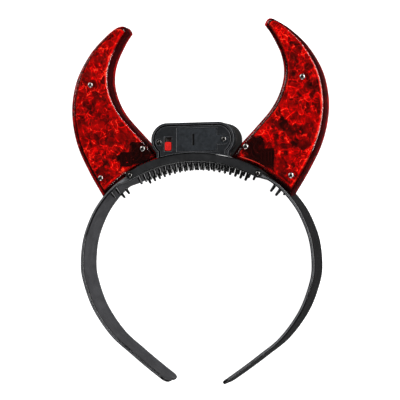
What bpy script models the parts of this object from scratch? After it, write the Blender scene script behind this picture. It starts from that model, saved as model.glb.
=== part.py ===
"""Light-up devil horns headband, lying on the far edge of its band.

The battery side faces up (+Z), the horns point along +Y and the open end of
the band along -Y. The origin is on the far edge of the band, in the middle of
the wall at the crown. All sizes are in metres.
"""
import math

import bmesh
import bpy
from mathutils import Matrix, Vector

# Gaps between pieces that touch or pass through each other
SEAT_GAP = 0.0003
PARTING_GAP = 0.0003

# Band: a springy hoop with a thick comb stretch at the crown
CROWN_RADIUS = 0.0817
BAND_HALF_WIDTH = 0.0707
BAND_DROP = 0.1302
BAND_DEPTH = 0.0209
BAND_WALL = 0.0020
COMB_WALL = 0.0040
BAND_EDGE_ROUND = 0.0005
CROWN_END_ANGLE = math.radians(36.5)
PAD_START_ANGLE = math.radians(28.9)
PAD_END_ANGLE = math.radians(34.1)
TIP_LOBE_ROUND = 0.0048
TIP_NOTCH_DEPTH = 0.0020
TIP_NOTCH_WIDTH = 0.0034

# The shoulder runs from the end of the crown arc out to the widest place.
# across: share of the way out; down: share of the way from there to the tips.
SHOULDER_ROWS = (
    {"across": 0.336, "down": 0.061},
    {"across": 0.659, "down": 0.148},
    {"across": 0.919, "down": 0.270},
    {"across": 1.000, "down": 0.397},
)
# The arm runs on to the tip. across: share of the half width.
ARM_ROWS = (
    {"across": 0.979, "down": 0.494},
    {"across": 0.890, "down": 0.633},
    {"across": 0.731, "down": 0.766},
    {"across": 0.549, "down": 0.858},
    {"across": 0.397, "down": 0.929},
    {"across": 0.235, "down": 1.000},
)

# Comb pegs, in one row by each edge of the band
PEG_ROWS = (
    {"row": "near", "length": 0.0048, "root_radius": 0.00100, "tip_radius": 0.00078},
    {"row": "far", "length": 0.0039, "root_radius": 0.00090, "tip_radius": 0.00070},
)
PEG_EDGE_INSET = 0.0025
PEG_ROOT_DEPTH = 0.0012
PEG_SIDES = 8
PEG_COUNT = 21
PEG_PITCH = math.radians(2.505)
COMB_SHIFT = math.radians(-1.15)
ARM_PEG_ANGLES = (math.radians(36.2), math.radians(39.0))

# Base strip: a lip over the near edge of the band and a web over its crown
LIP_INNER_DROP = 0.0008
LIP_HEIGHT = 0.0039
LIP_THICKNESS = 0.0017
WEB_THICKNESS = 0.0009
WEB_END_ANGLE = math.radians(24.6)
WEB_FAR_INSET = 0.0006
LUG_RADIUS = 0.0025
BASE_SCREW_ANGLE = math.radians(28.37)
BASE_SCREW_RISE = 0.0007

# Battery box: a pill with straight cheeks below, split into case and cover
BOX_HALF_LENGTH = 0.02525
BOX_TOP = 0.0209
BOX_END_RADIUS = 0.00975
BOX_CHEEK_HALF = 0.0219
BOX_FRONT_RISE = 0.0030
BOX_DEPTH = 0.0175
COVER_DEPTH = 0.0045
BOX_WALL = 0.0014
RIM_WIDTH = 0.0011
RIM_GROOVE_WIDTH = 0.0009
RIM_GROOVE_DEPTH = 0.0009
FACE_DROP = 0.0005
COVER_PLATE = 0.0024
BOX_EDGE_ROUND = 0.0004

# Battery door with a screwed tab on its right
DOOR_LENGTH = 0.0241
DOOR_HEIGHT = 0.0130
DOOR_MIDDLE = (0.00265, 0.0109)
DOOR_THICKNESS = 0.0012
DOOR_LEDGE = 0.0012
TAB_HALF_HEIGHT = 0.0025
DOOR_SLOT_WIDTH = 0.0011
DOOR_SLOT_HEIGHT = 0.0068
DOOR_SLOT_OFFSET = -0.0021
DOOR_SLOT_DEPTH = 0.0007
DOOR_SCREW_AT = (0.0192, 0.0108)
COVER_SCREW_AT = (-0.0206, 0.0098)
COUNTERBORE_RADIUS = 0.0019

# Slide switch
WINDOW_WIDTH = 0.0046
WINDOW_HEIGHT = 0.0084
WINDOW_MIDDLE = (-0.0150, 0.0086)
KNOB_HEIGHT = 0.0050
KNOB_RISE = 0.0003
SWITCH_BODY_MARGIN = 0.0012
SWITCH_BODY_DEPTH = 0.0030

# Horns
HORN_REACH = 0.0780
HORN_TOP = 0.0801
HORN_DEPTH = 0.0140
HORN_PARTING_DROP = 0.0064
HORN_TIP_BULGE = 0.36
HORN_WALL = 0.0013
HORN_EDGE_ROUND = 0.0032
HORN_SIDE_SHARE = 0.52
HORN_ROWS = 10
HORN_COLUMNS = 4
# across: share of the way from the box's side to the horn's widest reach;
# up: share of the horn's top above the crown.
HORN_INNER_EDGE = (
    {"across": 0.040, "up": 0.096},
    {"across": 0.200, "up": 0.206},
    {"across": 0.387, "up": 0.342},
    {"across": 0.492, "up": 0.469},
    {"across": 0.535, "up": 0.600},
    {"across": 0.503, "up": 0.734},
    {"across": 0.398, "up": 0.874},
    {"across": 0.318, "up": 0.949},
)
HORN_OUTER_EDGE = (
    {"across": 0.779, "up": -0.094},
    {"across": 0.921, "up": 0.094},
    {"across": 0.991, "up": 0.279},
    {"across": 0.994, "up": 0.451},
    {"across": 0.925, "up": 0.629},
    {"across": 0.764, "up": 0.804},
    {"across": 0.566, "up": 0.930},
    {"across": 0.447, "up": 0.981},
)
HORN_HEEL_ANGLE = math.radians(43.9)

# Screws that hold the two shells of a horn together
HORN_SCREW_ROWS = (
    {"name": "upper", "across": 0.753, "up": 0.564},
    {"name": "heel", "across": 0.625, "up": -0.132},
    {"name": "inner", "across": 0.115, "up": 0.080},
)
POST_RADIUS = 0.0018
POST_CLEARANCE = 0.0009
HORN_RECESS_RADIUS = 0.0026
HORN_RECESS_DEPTH = 0.0006

# Foil and lamp holder inside each horn
FOIL_THICKNESS = 0.0006
FOIL_RISE = 0.0027
FOIL_CLEARANCE = 0.0009
LAMP_MIDDLE = (0.0431, 0.0004)
LAMP_WIDTH = 0.0070
LAMP_HEIGHT = 0.0086
LAMP_DEPTH = 0.0100

# Screw pattern: pan head with a cross slot
SCREW_SHANK = 0.00065
SCREW_SIDES = 10
SCREW_KINDS = {
    "base": {"head": 0.00150, "rise": 0.0009, "length": 0.0070},
    "horn": {"head": 0.00175, "rise": 0.0012, "length": 0.0085},
    "box": {"head": 0.00150, "rise": 0.0009, "length": 0.0060},
}
BORE_RADIUS = SCREW_SHANK + SEAT_GAP

# Places that follow from the sizes above
CROWN_CENTRE = Vector((0.0, -CROWN_RADIUS))
NEAR_EDGE = BAND_DEPTH
CROWN_OUTER = CROWN_RADIUS + COMB_WALL / 2
CROWN_INNER = CROWN_RADIUS - COMB_WALL / 2
ARM_RADIUS = CROWN_OUTER - BAND_WALL / 2
WEB_INNER = CROWN_OUTER + SEAT_GAP
WEB_OUTER = WEB_INNER + WEB_THICKNESS
BASE_SEAT = WEB_OUTER + SEAT_GAP
LIP_INNER = CROWN_INNER + LIP_INNER_DROP
LIP_OUTER = LIP_INNER + LIP_HEIGHT
LIP_BACK = NEAR_EDGE + SEAT_GAP
LIP_FRONT = LIP_BACK + LIP_THICKNESS
BASE_SCREW_RADIUS = CROWN_RADIUS + BASE_SCREW_RISE
BOX_FRONT = NEAR_EDGE + BOX_FRONT_RISE
BOX_BACK = BOX_FRONT - BOX_DEPTH
COVER_BACK = BOX_FRONT - COVER_DEPTH
CASE_FRONT = COVER_BACK - PARTING_GAP
FACE_LEVEL = BOX_FRONT - FACE_DROP
PLATE_BACK = FACE_LEVEL - COVER_PLATE
BOX_END_X = BOX_HALF_LENGTH - BOX_END_RADIUS
BOX_END_Y = BOX_TOP - BOX_END_RADIUS
HORN_PARTING = NEAR_EDGE - HORN_PARTING_DROP
HORN_HALF = HORN_DEPTH / 2
HORN_SIDE = HORN_HALF * HORN_SIDE_SHARE
HORN_ROOT_X = BOX_HALF_LENGTH + SEAT_GAP

COLOURS = {
    "black_plastic": ((0.014, 0.014, 0.016), 0.32, 0.0),
    "cover_plastic": ((0.022, 0.024, 0.027), 0.42, 0.0),
    "red_plastic": ((0.60, 0.006, 0.008), 0.12, 0.0),
    "red_foil": ((0.70, 0.02, 0.02), 0.22, 0.8),
    "lamp_black": ((0.006, 0.006, 0.007), 0.50, 0.0),
    "knob_red": ((0.62, 0.02, 0.015), 0.40, 0.0),
    "steel": ((0.62, 0.62, 0.60), 0.28, 1.0),
}


def clear_scene():
    """Remove whatever the scene holds."""
    for item in list(bpy.data.objects):
        bpy.data.objects.remove(item, do_unlink=True)


def make_collection(name):
    """A collection in the scene."""
    group = bpy.data.collections.new(name)
    bpy.context.scene.collection.children.link(group)
    return group


def make_material(name):
    """A Principled material from the colour table."""
    colour, roughness, metallic = COLOURS[name]
    material = bpy.data.materials.new(name)
    material.use_nodes = True
    shader = material.node_tree.nodes["Principled BSDF"]
    shader.inputs["Base Color"].default_value = (*colour, 1.0)
    shader.inputs["Roughness"].default_value = roughness
    shader.inputs["Metallic"].default_value = metallic
    return material


clear_scene()
PARTS = make_collection("devil_horns_headband")
CUTTERS = make_collection("cutters")
MATERIALS = {name: make_material(name) for name in COLOURS}


# Points in the plane of the band

def on_crown(radius, angle):
    """A point at a radius and an angle from the top of the crown arc."""
    return CROWN_CENTRE + Vector((math.sin(angle), math.cos(angle))) * radius


def arc(centre, radius, start, end, count):
    """Points along a circle arc, angles from +X."""
    points = []
    for step in range(count + 1):
        angle = start + (end - start) * step / count
        points.append(Vector(centre) + Vector((math.cos(angle), math.sin(angle))) * radius)
    return points


def smooth_line(points, steps):
    """Points on a smooth line through the given ones."""
    first = points[0] * 2 - points[1]
    last = points[-1] * 2 - points[-2]
    padded = [first, *points, last]
    line = []
    for index in range(1, len(padded) - 2):
        before, start, end, after = padded[index - 1:index + 3]
        for step in range(steps):
            t = step / steps
            line.append(0.5 * (
                2 * start
                + (end - before) * t
                + (2 * before - 5 * start + 4 * end - after) * t ** 2
                + (3 * start - before - 3 * end + after) * t ** 3))
    line.append(points[-1])
    return line


def offset_line(line, distance):
    """The line moved to its left by a distance."""
    moved = []
    for index, point in enumerate(line):
        ahead = line[min(index + 1, len(line) - 1)]
        behind = line[max(index - 1, 0)]
        along = (ahead - behind).normalized()
        moved.append(point + Vector((-along.y, along.x)) * distance)
    return moved


def mirrored(points):
    """The points on the other side of the middle plane."""
    return [Vector((-point.x, point.y)) for point in points]


def band_route():
    """Middle of the band's wall from the end of the crown arc to the tip."""
    start = on_crown(ARM_RADIUS, CROWN_END_ANGLE)
    fall = -BAND_DROP - start.y
    points = [on_crown(ARM_RADIUS, CROWN_END_ANGLE - math.radians(6)), start]
    for row in SHOULDER_ROWS:
        across = start.x + row["across"] * (BAND_HALF_WIDTH - start.x)
        points.append(Vector((across, start.y + row["down"] * fall)))
    for row in ARM_ROWS:
        across = row["across"] * BAND_HALF_WIDTH
        points.append(Vector((across, start.y + row["down"] * fall)))
    steps = 3
    return smooth_line(points, steps)[steps:]


def band_inner_line(shift):
    """Inner line of one side from the middle of the crown to the tip, its thick part longer by a shift."""
    comb_steps = 10
    comb = [on_crown(CROWN_INNER, (PAD_START_ANGLE + shift) * step / comb_steps)
            for step in range(comb_steps + 1)]
    pad_end = on_crown(ARM_RADIUS - BAND_WALL / 2, PAD_END_ANGLE + shift)
    return comb + [pad_end] + offset_line(band_route(), -BAND_WALL / 2)


def band_outline():
    """The closed outline of the band, thick along the comb."""
    arm_outer = offset_line(band_route(), BAND_WALL / 2)
    crown_steps = 12
    outer = [on_crown(CROWN_OUTER, CROWN_END_ANGLE * step / crown_steps)
             for step in range(crown_steps)]
    outer += arm_outer
    right_inner = band_inner_line(COMB_SHIFT)
    left_inner = mirrored(band_inner_line(-COMB_SHIFT))
    right = outer + right_inner[:0:-1]
    left = left_inner[1:] + mirrored(outer)[:0:-1]
    return right + [right_inner[0]] + left


# Blender objects

def flat_solid(name, outline, bottom, top):
    """A filled flat outline, extruded between two levels, as a mesh."""
    curve = bpy.data.curves.new(name, "CURVE")
    curve.dimensions = "2D"
    curve.fill_mode = "BOTH"
    curve.extrude = (top - bottom) / 2
    spline = curve.splines.new("POLY")
    spline.points.add(len(outline) - 1)
    for place, point in zip(spline.points, outline):
        place.co = (point.x, point.y, 0.0, 1.0)
    spline.use_cyclic_u = True
    plain = bpy.data.objects.new(name, curve)
    plain.location.z = (top + bottom) / 2
    bpy.context.scene.collection.objects.link(plain)
    bpy.context.view_layer.update()
    shape = bpy.data.meshes.new_from_object(plain.evaluated_get(bpy.context.evaluated_depsgraph_get()))
    place = plain.matrix_world.copy()
    bpy.data.objects.remove(plain, do_unlink=True)
    bpy.data.curves.remove(curve)
    shaped = bmesh.new()
    shaped.from_mesh(shape)
    bmesh.ops.remove_doubles(shaped, verts=shaped.verts, dist=0.00001)
    bmesh.ops.recalc_face_normals(shaped, faces=shaped.faces)
    shaped.to_mesh(shape)
    shaped.free()
    return put(name, shape, place)


def put(name, shape, place=None):
    """An object for a mesh, in the scene and in no group yet."""
    item = bpy.data.objects.new(name, shape)
    item.matrix_world = place or Matrix()
    bpy.context.scene.collection.objects.link(item)
    return item


def from_bmesh(name, shaped):
    """An object from a bmesh, which is freed."""
    shape = bpy.data.meshes.new(name)
    shaped.to_mesh(shape)
    shaped.free()
    return put(name, shape)


def into(group, item):
    """Move an object to one of the two groups."""
    bpy.context.scene.collection.objects.unlink(item)
    group.objects.link(item)
    return item


def part(item, material):
    """Finish an object as a piece of the headband."""
    item.data.materials.clear()
    item.data.materials.append(MATERIALS[material])
    item.data.shade_smooth()
    item.data.set_sharp_from_angle(angle=math.radians(35))
    return into(PARTS, item)


def helper(item):
    """Finish an object as a cutter or a guide."""
    item.hide_render = True
    item.display_type = "WIRE"
    return into(CUTTERS, item)


def boolean(target, tool, operation="DIFFERENCE"):
    """Cut a helper from the target, or join it on."""
    step = target.modifiers.new(tool.name, "BOOLEAN")
    step.operation = operation
    step.solver = "EXACT"
    step.object = tool


def round_edges(item, width, segments=1, angle=50):
    """Bevel the edges sharper than an angle."""
    step = item.modifiers.new("edges", "BEVEL")
    step.width = width
    step.segments = segments
    step.limit_method = "ANGLE"
    step.angle_limit = math.radians(angle)
    step.use_clamp_overlap = True


def rod(name, x, y, bottom, top, radius, sides=12):
    """A round rod along Z."""
    shaped = bmesh.new()
    bmesh.ops.create_cone(
        shaped, cap_ends=True, segments=sides, radius1=radius, radius2=radius,
        depth=top - bottom)
    item = from_bmesh(name, shaped)
    item.location = (x, y, (top + bottom) / 2)
    return item


def block(name, x, y, z, width, height, depth, turn=0.0):
    """A box by its middle and its size."""
    shaped = bmesh.new()
    bmesh.ops.create_cube(shaped, size=1.0)
    bmesh.ops.scale(shaped, vec=(width, height, depth), verts=shaped.verts)
    item = from_bmesh(name, shaped)
    item.location = (x, y, z)
    item.rotation_euler.z = turn
    return item


# Screws

def screw(name, kind, x, y, seat):
    """A pan head screw whose head sits on a level."""
    sizes = SCREW_KINDS[kind]
    head, rise, length = sizes["head"], sizes["rise"], sizes["length"]
    profile = (
        (0.0, rise), (head * 0.55, rise), (head * 0.92, rise * 0.65), (head, 0.0),
        (SCREW_SHANK, 0.0), (SCREW_SHANK, -length), (0.0, -length - SCREW_SHANK))
    shaped = bmesh.new()
    points = [shaped.verts.new((across, 0.0, up)) for across, up in profile]
    for start, end in zip(points, points[1:]):
        shaped.edges.new((start, end))
    item = from_bmesh(name, shaped)
    turned = item.modifiers.new("turned", "SCREW")
    turned.axis = "Z"
    turned.steps = SCREW_SIDES
    turned.render_steps = SCREW_SIDES
    turned.use_merge_vertices = True
    turned.merge_threshold = 0.0001
    item.location = (x, y, seat + SEAT_GAP)
    slot = head * 0.26
    for turn in (25, 115):
        bar = block(f"{name}_slot_{turn}", x, y, seat + SEAT_GAP + rise,
                    head * 1.2, slot, rise, math.radians(turn))
        boolean(item, helper(bar))
    return part(item, "steel")


# Band

def peg_shape(row):
    """One comb peg that points along +Z from its root, as a bmesh."""
    shaped = bmesh.new()
    length = row["length"] + PEG_ROOT_DEPTH
    bmesh.ops.create_cone(
        shaped, cap_ends=True, segments=PEG_SIDES, radius1=row["root_radius"],
        radius2=row["tip_radius"], depth=length)
    bmesh.ops.translate(shaped, vec=(0, 0, length / 2 - PEG_ROOT_DEPTH), verts=shaped.verts)
    tip = [edge for edge in shaped.edges
           if all(vert.co.z > row["length"] * 0.99 for vert in edge.verts)]
    bmesh.ops.bevel(shaped, geom=tip, offset=row["tip_radius"] * 0.6, segments=1,
                    affect="EDGES")
    return shaped


def peg_places():
    """Angle and root radius of every peg in a row."""
    places = []
    for index in range(PEG_COUNT):
        angle = (index - (PEG_COUNT - 1) / 2) * PEG_PITCH + COMB_SHIFT
        places.append((angle, CROWN_INNER))
    for angle in ARM_PEG_ANGLES:
        places.append((angle, ARM_RADIUS - BAND_WALL / 2))
        places.append((COMB_SHIFT - angle, ARM_RADIUS - BAND_WALL / 2))
    return places


def comb_pegs():
    """All the pegs as one helper mesh."""
    shape = bpy.data.meshes.new("pegs")
    whole = bmesh.new()
    for row in PEG_ROWS:
        near = row["row"] == "near"
        level = NEAR_EDGE - PEG_EDGE_INSET if near else PEG_EDGE_INSET
        for angle, radius in peg_places():
            single = peg_shape(row)
            root = on_crown(radius, angle)
            inward = (CROWN_CENTRE - root).normalized()
            up = Vector((inward.x, inward.y, 0.0))
            turn = up.to_track_quat("Z", "Y").to_matrix().to_4x4()
            place = Matrix.Translation((root.x, root.y, level)) @ turn
            bmesh.ops.transform(single, matrix=place, verts=single.verts)
            single.to_mesh(shape)
            whole.from_mesh(shape)
            single.free()
    bpy.data.meshes.remove(shape)
    return helper(from_bmesh("comb_pegs", whole))


def tip_cutter(side):
    """Rounds the end of one arm to two lobes with a notch between."""
    route = band_route()
    end = route[-1]
    along = (route[-1] - route[-2]).normalized()
    steps = 24
    reach = TIP_LOBE_ROUND * 1.5
    outline = [Vector((reach, -reach)), Vector((reach, BAND_DEPTH + reach)),
               Vector((-TIP_LOBE_ROUND, BAND_DEPTH + reach))]
    for step in range(steps + 1):
        level = BAND_DEPTH * (1 - step / steps)
        from_edge = min(level, BAND_DEPTH - level)
        short = max(TIP_LOBE_ROUND - from_edge, 0.0)
        corner = TIP_LOBE_ROUND - math.sqrt(TIP_LOBE_ROUND ** 2 - short ** 2)
        from_middle = abs(level - BAND_DEPTH / 2) / (TIP_NOTCH_WIDTH / 2)
        notch = TIP_NOTCH_DEPTH * max(0.0, 1 - from_middle ** 2)
        outline.append(Vector((-max(corner, notch), level)))
    outline.append(Vector((-TIP_LOBE_ROUND, -reach)))
    item = flat_solid(f"tip_cutter_{side}", outline, -BAND_WALL * 3, BAND_WALL * 3)
    sign = 1 if side == "right" else -1
    out = Vector((along.x * sign, along.y, 0.0))
    up = Vector((0.0, 0.0, 1.0))
    across = out.cross(up)
    turn = Matrix((out, up, across)).transposed().to_4x4()
    item.matrix_world = Matrix.Translation((end.x * sign, end.y, 0.0)) @ turn
    return helper(item)


def base_screw_places():
    """Left and right places of the base screws."""
    right = on_crown(BASE_SCREW_RADIUS, BASE_SCREW_ANGLE)
    return {"left": Vector((-right.x, right.y)), "right": right}


def make_band():
    """The hoop with its comb, in one piece."""
    band = flat_solid("band", band_outline(), 0.0, BAND_DEPTH)
    round_edges(band, BAND_EDGE_ROUND, angle=60)
    boolean(band, comb_pegs(), "UNION")
    for side in ("left", "right"):
        boolean(band, tip_cutter(side))
    for side, place in base_screw_places().items():
        depth = SCREW_KINDS["base"]["length"] + 2 * SEAT_GAP + SCREW_SHANK
        bore = rod(f"band_bore_{side}", place.x, place.y, NEAR_EDGE - depth,
                   NEAR_EDGE + SEAT_GAP, BORE_RADIUS)
        boolean(band, helper(bore))
    return part(band, "black_plastic")


# Base strip

def ring_stretch(inner, outer, angle, steps):
    """Outline of a stretch of a flat ring about the crown."""
    angles = [angle * (2 * step / steps - 1) for step in range(steps + 1)]
    return ([on_crown(outer, turn) for turn in angles]
            + [on_crown(inner, turn) for turn in reversed(angles)])


def make_base():
    """Lip on the near edge, web over the crown, and a lug at each end."""
    base = flat_solid("base_strip", ring_stretch(LIP_INNER, LIP_OUTER, BASE_SCREW_ANGLE, 20),
                      LIP_BACK, LIP_FRONT)
    web = flat_solid("base_web", ring_stretch(WEB_INNER, WEB_OUTER, WEB_END_ANGLE, 17),
                     WEB_FAR_INSET, LIP_FRONT - LIP_THICKNESS / 3)
    boolean(base, helper(web), "UNION")
    pocket = SCREW_KINDS["base"]["rise"]
    for side, place in base_screw_places().items():
        lug = rod(f"lug_{side}", place.x, place.y, LIP_BACK, LIP_FRONT, LUG_RADIUS, 16)
        boolean(base, helper(lug), "UNION")
        recess = rod(f"lug_recess_{side}", place.x, place.y, LIP_FRONT - pocket,
                     LIP_FRONT + SEAT_GAP, COUNTERBORE_RADIUS, 16)
        boolean(base, helper(recess))
        bore = rod(f"lug_bore_{side}", place.x, place.y, LIP_BACK - SEAT_GAP,
                   LIP_FRONT + SEAT_GAP, BORE_RADIUS)
        boolean(base, helper(bore))
        screw(f"base_screw_{side}", "base", place.x, place.y, LIP_FRONT - pocket)
    return part(base, "black_plastic")


# Battery box

def box_shoulders(inset):
    """Line over the box from its left cheek to its right cheek."""
    radius = BOX_END_RADIUS - inset
    turn = math.acos((BOX_CHEEK_HALF - inset - BOX_END_X) / radius)
    right = arc((BOX_END_X, BOX_END_Y), radius, math.pi / 2, -turn, 10)
    return mirrored(right)[::-1] + right


def box_outline(inset=0.0):
    """Pill with straight cheeks that stand on the base strip."""
    seat = BASE_SEAT + inset
    end = math.asin((BOX_CHEEK_HALF - inset) / seat)
    steps = 10
    foot = [on_crown(seat, end * (1 - 2 * step / steps)) for step in range(steps + 1)]
    return box_shoulders(inset) + foot


def open_box_line(inset):
    """The line over the box, run straight down past its foot."""
    cheek = BOX_CHEEK_HALF - inset
    return [Vector((-cheek, 0.0))] + box_shoulders(inset) + [Vector((cheek, 0.0))]


def make_case():
    """Back half of the box, open at the front, with a post for the cover screw."""
    case = flat_solid("box_case", box_outline(), BOX_BACK, CASE_FRONT)
    round_edges(case, BOX_EDGE_ROUND, angle=60)
    hollow = flat_solid("case_hollow", box_outline(BOX_WALL), BOX_BACK + BOX_WALL,
                        CASE_FRONT + BOX_WALL)
    boolean(case, helper(hollow))
    x, y = COVER_SCREW_AT
    post_top = PLATE_BACK - SEAT_GAP
    post = rod("case_post", x, y, BOX_BACK + BOX_WALL / 2, post_top, POST_RADIUS)
    boolean(case, helper(post), "UNION")
    bore = rod("case_bore", x, y, post_top - SCREW_KINDS["box"]["length"] - SCREW_SHANK,
               post_top + SEAT_GAP, BORE_RADIUS)
    boolean(case, helper(bore))
    return part(case, "black_plastic")


def door_outline(margin):
    """The door with its tab, larger by a margin all round."""
    x, y = DOOR_MIDDLE
    left = x - DOOR_LENGTH / 2 - margin
    right = x + DOOR_LENGTH / 2 + margin
    low = y - DOOR_HEIGHT / 2 - margin
    high = y + DOOR_HEIGHT / 2 + margin
    half = TAB_HALF_HEIGHT + margin
    screw_x, screw_y = DOOR_SCREW_AT
    tab = arc((screw_x, screw_y), half, -math.pi / 2, math.pi / 2, 8)
    return ([Vector((left, high)), Vector((left, low)), Vector((right, low)),
             Vector((right, screw_y - half))] + tab
            + [Vector((right, screw_y + half)), Vector((right, high))])


def make_cover():
    """Front half of the box: rim, groove, door recess, window and screw holes."""
    cover = flat_solid("box_cover", box_outline(), COVER_BACK, BOX_FRONT)
    round_edges(cover, BOX_EDGE_ROUND, angle=60)
    hollow = flat_solid("cover_hollow", box_outline(BOX_WALL), COVER_BACK - BOX_WALL,
                        PLATE_BACK)
    boolean(cover, helper(hollow))
    rim = open_box_line(RIM_WIDTH)
    face = flat_solid("cover_face", rim, FACE_LEVEL, BOX_FRONT + BOX_WALL)
    boolean(cover, helper(face))
    groove_side = open_box_line(RIM_WIDTH + RIM_GROOVE_WIDTH)
    groove = flat_solid("cover_groove", rim + groove_side[::-1],
                        FACE_LEVEL - RIM_GROOVE_DEPTH, FACE_LEVEL + FACE_DROP / 2)
    boolean(cover, helper(groove))
    x, y = DOOR_SCREW_AT
    door_boss = rod("door_boss", x, y, COVER_BACK, PLATE_BACK + SEAT_GAP, POST_RADIUS)
    boolean(cover, helper(door_boss), "UNION")
    recess_floor = FACE_LEVEL - DOOR_THICKNESS - SEAT_GAP
    recess = flat_solid("door_recess", door_outline(SEAT_GAP), recess_floor,
                        BOX_FRONT + BOX_WALL)
    boolean(cover, helper(recess))
    middle_x, middle_y = DOOR_MIDDLE
    bay = block("door_bay", middle_x, middle_y, recess_floor,
                DOOR_LENGTH - 2 * DOOR_LEDGE, DOOR_HEIGHT - 2 * DOOR_LEDGE, COVER_PLATE * 2)
    boolean(cover, helper(bay))
    bore = rod("door_bore", x, y, COVER_BACK - SEAT_GAP, FACE_LEVEL, BORE_RADIUS)
    boolean(cover, helper(bore))
    window_x, window_y = WINDOW_MIDDLE
    window = block("switch_window", window_x, window_y, FACE_LEVEL, WINDOW_WIDTH,
                   WINDOW_HEIGHT, COVER_PLATE * 3)
    boolean(cover, helper(window))
    x, y = COVER_SCREW_AT
    sink = rod("cover_counterbore", x, y, cover_screw_seat(), BOX_FRONT,
               COUNTERBORE_RADIUS, 16)
    boolean(cover, helper(sink))
    hole = rod("cover_screw_hole", x, y, PLATE_BACK - SEAT_GAP, BOX_FRONT, BORE_RADIUS)
    boolean(cover, helper(hole))
    return part(cover, "cover_plastic")


def cover_screw_seat():
    """Level of the counterbore's floor under the cover screw."""
    return FACE_LEVEL - COVER_PLATE / 2 - SEAT_GAP


def make_door():
    """Battery door with its tab and the slot that marks it."""
    top = FACE_LEVEL
    door = flat_solid("battery_door", door_outline(0.0), top - DOOR_THICKNESS, top)
    middle_x, middle_y = DOOR_MIDDLE
    slot = block("door_slot", middle_x + DOOR_SLOT_OFFSET, middle_y, top,
                 DOOR_SLOT_WIDTH, DOOR_SLOT_HEIGHT, DOOR_SLOT_DEPTH * 2)
    boolean(door, helper(slot))
    x, y = DOOR_SCREW_AT
    hole = rod("door_screw_hole", x, y, top - DOOR_THICKNESS * 2, top + SEAT_GAP, BORE_RADIUS)
    boolean(door, helper(hole))
    return part(door, "cover_plastic")


def make_switch():
    """Switch body under the window, and the knob at the low end of its travel."""
    x, y = WINDOW_MIDDLE
    body_top = PLATE_BACK - SEAT_GAP
    body = block("switch_body", x, y + SEAT_GAP + SWITCH_BODY_MARGIN / 2,
                 body_top - SWITCH_BODY_DEPTH / 2, WINDOW_WIDTH + 2 * SWITCH_BODY_MARGIN,
                 WINDOW_HEIGHT + SWITCH_BODY_MARGIN, SWITCH_BODY_DEPTH)
    part(body, "steel")
    knob_low = body_top + SEAT_GAP
    knob_high = FACE_LEVEL + KNOB_RISE
    knob_y = y - WINDOW_HEIGHT / 2 + SEAT_GAP + KNOB_HEIGHT / 2
    knob = block("switch_knob", x, knob_y, (knob_low + knob_high) / 2,
                 WINDOW_WIDTH - 2 * SEAT_GAP, KNOB_HEIGHT, knob_high - knob_low)
    round_edges(knob, 0.0004, segments=2)
    return part(knob, "knob_red")


# Horns

def horn_place(row):
    """A point of the right horn from its shares across and up."""
    across = HORN_ROOT_X + row["across"] * (HORN_REACH - HORN_ROOT_X)
    return Vector((across, row["up"] * HORN_TOP))


def seat_line():
    """What the right horn stands on, from beside the box to the heel."""
    root_angle = math.asin((BOX_CHEEK_HALF + SEAT_GAP) / BASE_SEAT)
    ease_from = WEB_END_ANGLE
    ease_to = PAD_END_ANGLE
    on_band = CROWN_OUTER + SEAT_GAP
    steps = 24
    points = []
    route = offset_line(band_route(), BAND_WALL / 2 + SEAT_GAP)
    for step in range(steps + 1):
        angle = root_angle + (HORN_HEEL_ANGLE - root_angle) * step / steps
        t = min(max((angle - ease_from) / (ease_to - ease_from), 0.0), 1.0)
        radius = BASE_SEAT + (on_band - BASE_SEAT) * t * t * (3 - 2 * t)
        if angle > CROWN_END_ANGLE:
            radius = radius_on(route, angle)
        points.append(on_crown(radius, angle))
    return points


def radius_on(line, angle):
    """How far from the crown's centre a line is at an angle."""
    for start, end in zip(line, line[1:]):
        low, high = (start - CROWN_CENTRE), (end - CROWN_CENTRE)
        low_angle = math.atan2(low.x, low.y)
        high_angle = math.atan2(high.x, high.y)
        if low_angle <= angle <= high_angle:
            share = (angle - low_angle) / (high_angle - low_angle)
            return low.length + share * (high.length - low.length)
    return (line[0] - CROWN_CENTRE).length


def at_share(line, share):
    """The point at a share of a line's length."""
    lengths = [0.0]
    for start, end in zip(line, line[1:]):
        lengths.append(lengths[-1] + (end - start).length)
    wanted = min(max(share, 0.0), 1.0) * lengths[-1]
    for index in range(1, len(line)):
        if wanted <= lengths[index] or index == len(line) - 1:
            stretch = lengths[index] - lengths[index - 1]
            return line[index - 1].lerp(line[index], (wanted - lengths[index - 1]) / stretch)
    return line[-1]


def line_length(line):
    """Length of a line of points."""
    return sum((end - start).length for start, end in zip(line, line[1:]))


def horn_edges():
    """Root, tip, inner and outer edge of the right horn."""
    root = seat_line()
    inner = smooth_line([root[0]] + [horn_place(row) for row in HORN_INNER_EDGE], 6)
    outer = smooth_line([root[-1]] + [horn_place(row) for row in HORN_OUTER_EDGE], 6)
    return root, tip_line(inner[-1], outer[-1]), inner, outer


def tip_line(start, end):
    """The rounded end of the horn between its two edges."""
    along = end - start
    out = Vector((-along.y, along.x)) * HORN_TIP_BULGE
    steps = 8
    shares = [step / steps for step in range(steps + 1)]
    return [start + along * share + out * 4 * share * (1 - share) for share in shares]


EDGES = horn_edges()


def horn_point(up, across):
    """The point inside the horn's outline at two shares, blended from its edges."""
    root, tip, inner, outer = EDGES
    sides = at_share(inner, up).lerp(at_share(outer, up), across)
    ends = at_share(root, across).lerp(at_share(tip, across), up)
    corners = inner[0].lerp(outer[0], across).lerp(inner[-1].lerp(outer[-1], across), up)
    return sides + ends - corners


def ring_shares(distances, length, spare):
    """Shares at which rings lie, counted in from both ends."""
    low = [min(distance / length, spare * (index + 1) / len(distances))
           for index, distance in enumerate(distances)]
    return low, [1 - share for share in reversed(low)]


def with_middle(low, high, count):
    """The shares at both ends with the stretch between split evenly."""
    middle = [low[-1] + (high[0] - low[-1]) * step / count for step in range(1, count)]
    return low + middle + high


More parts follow.
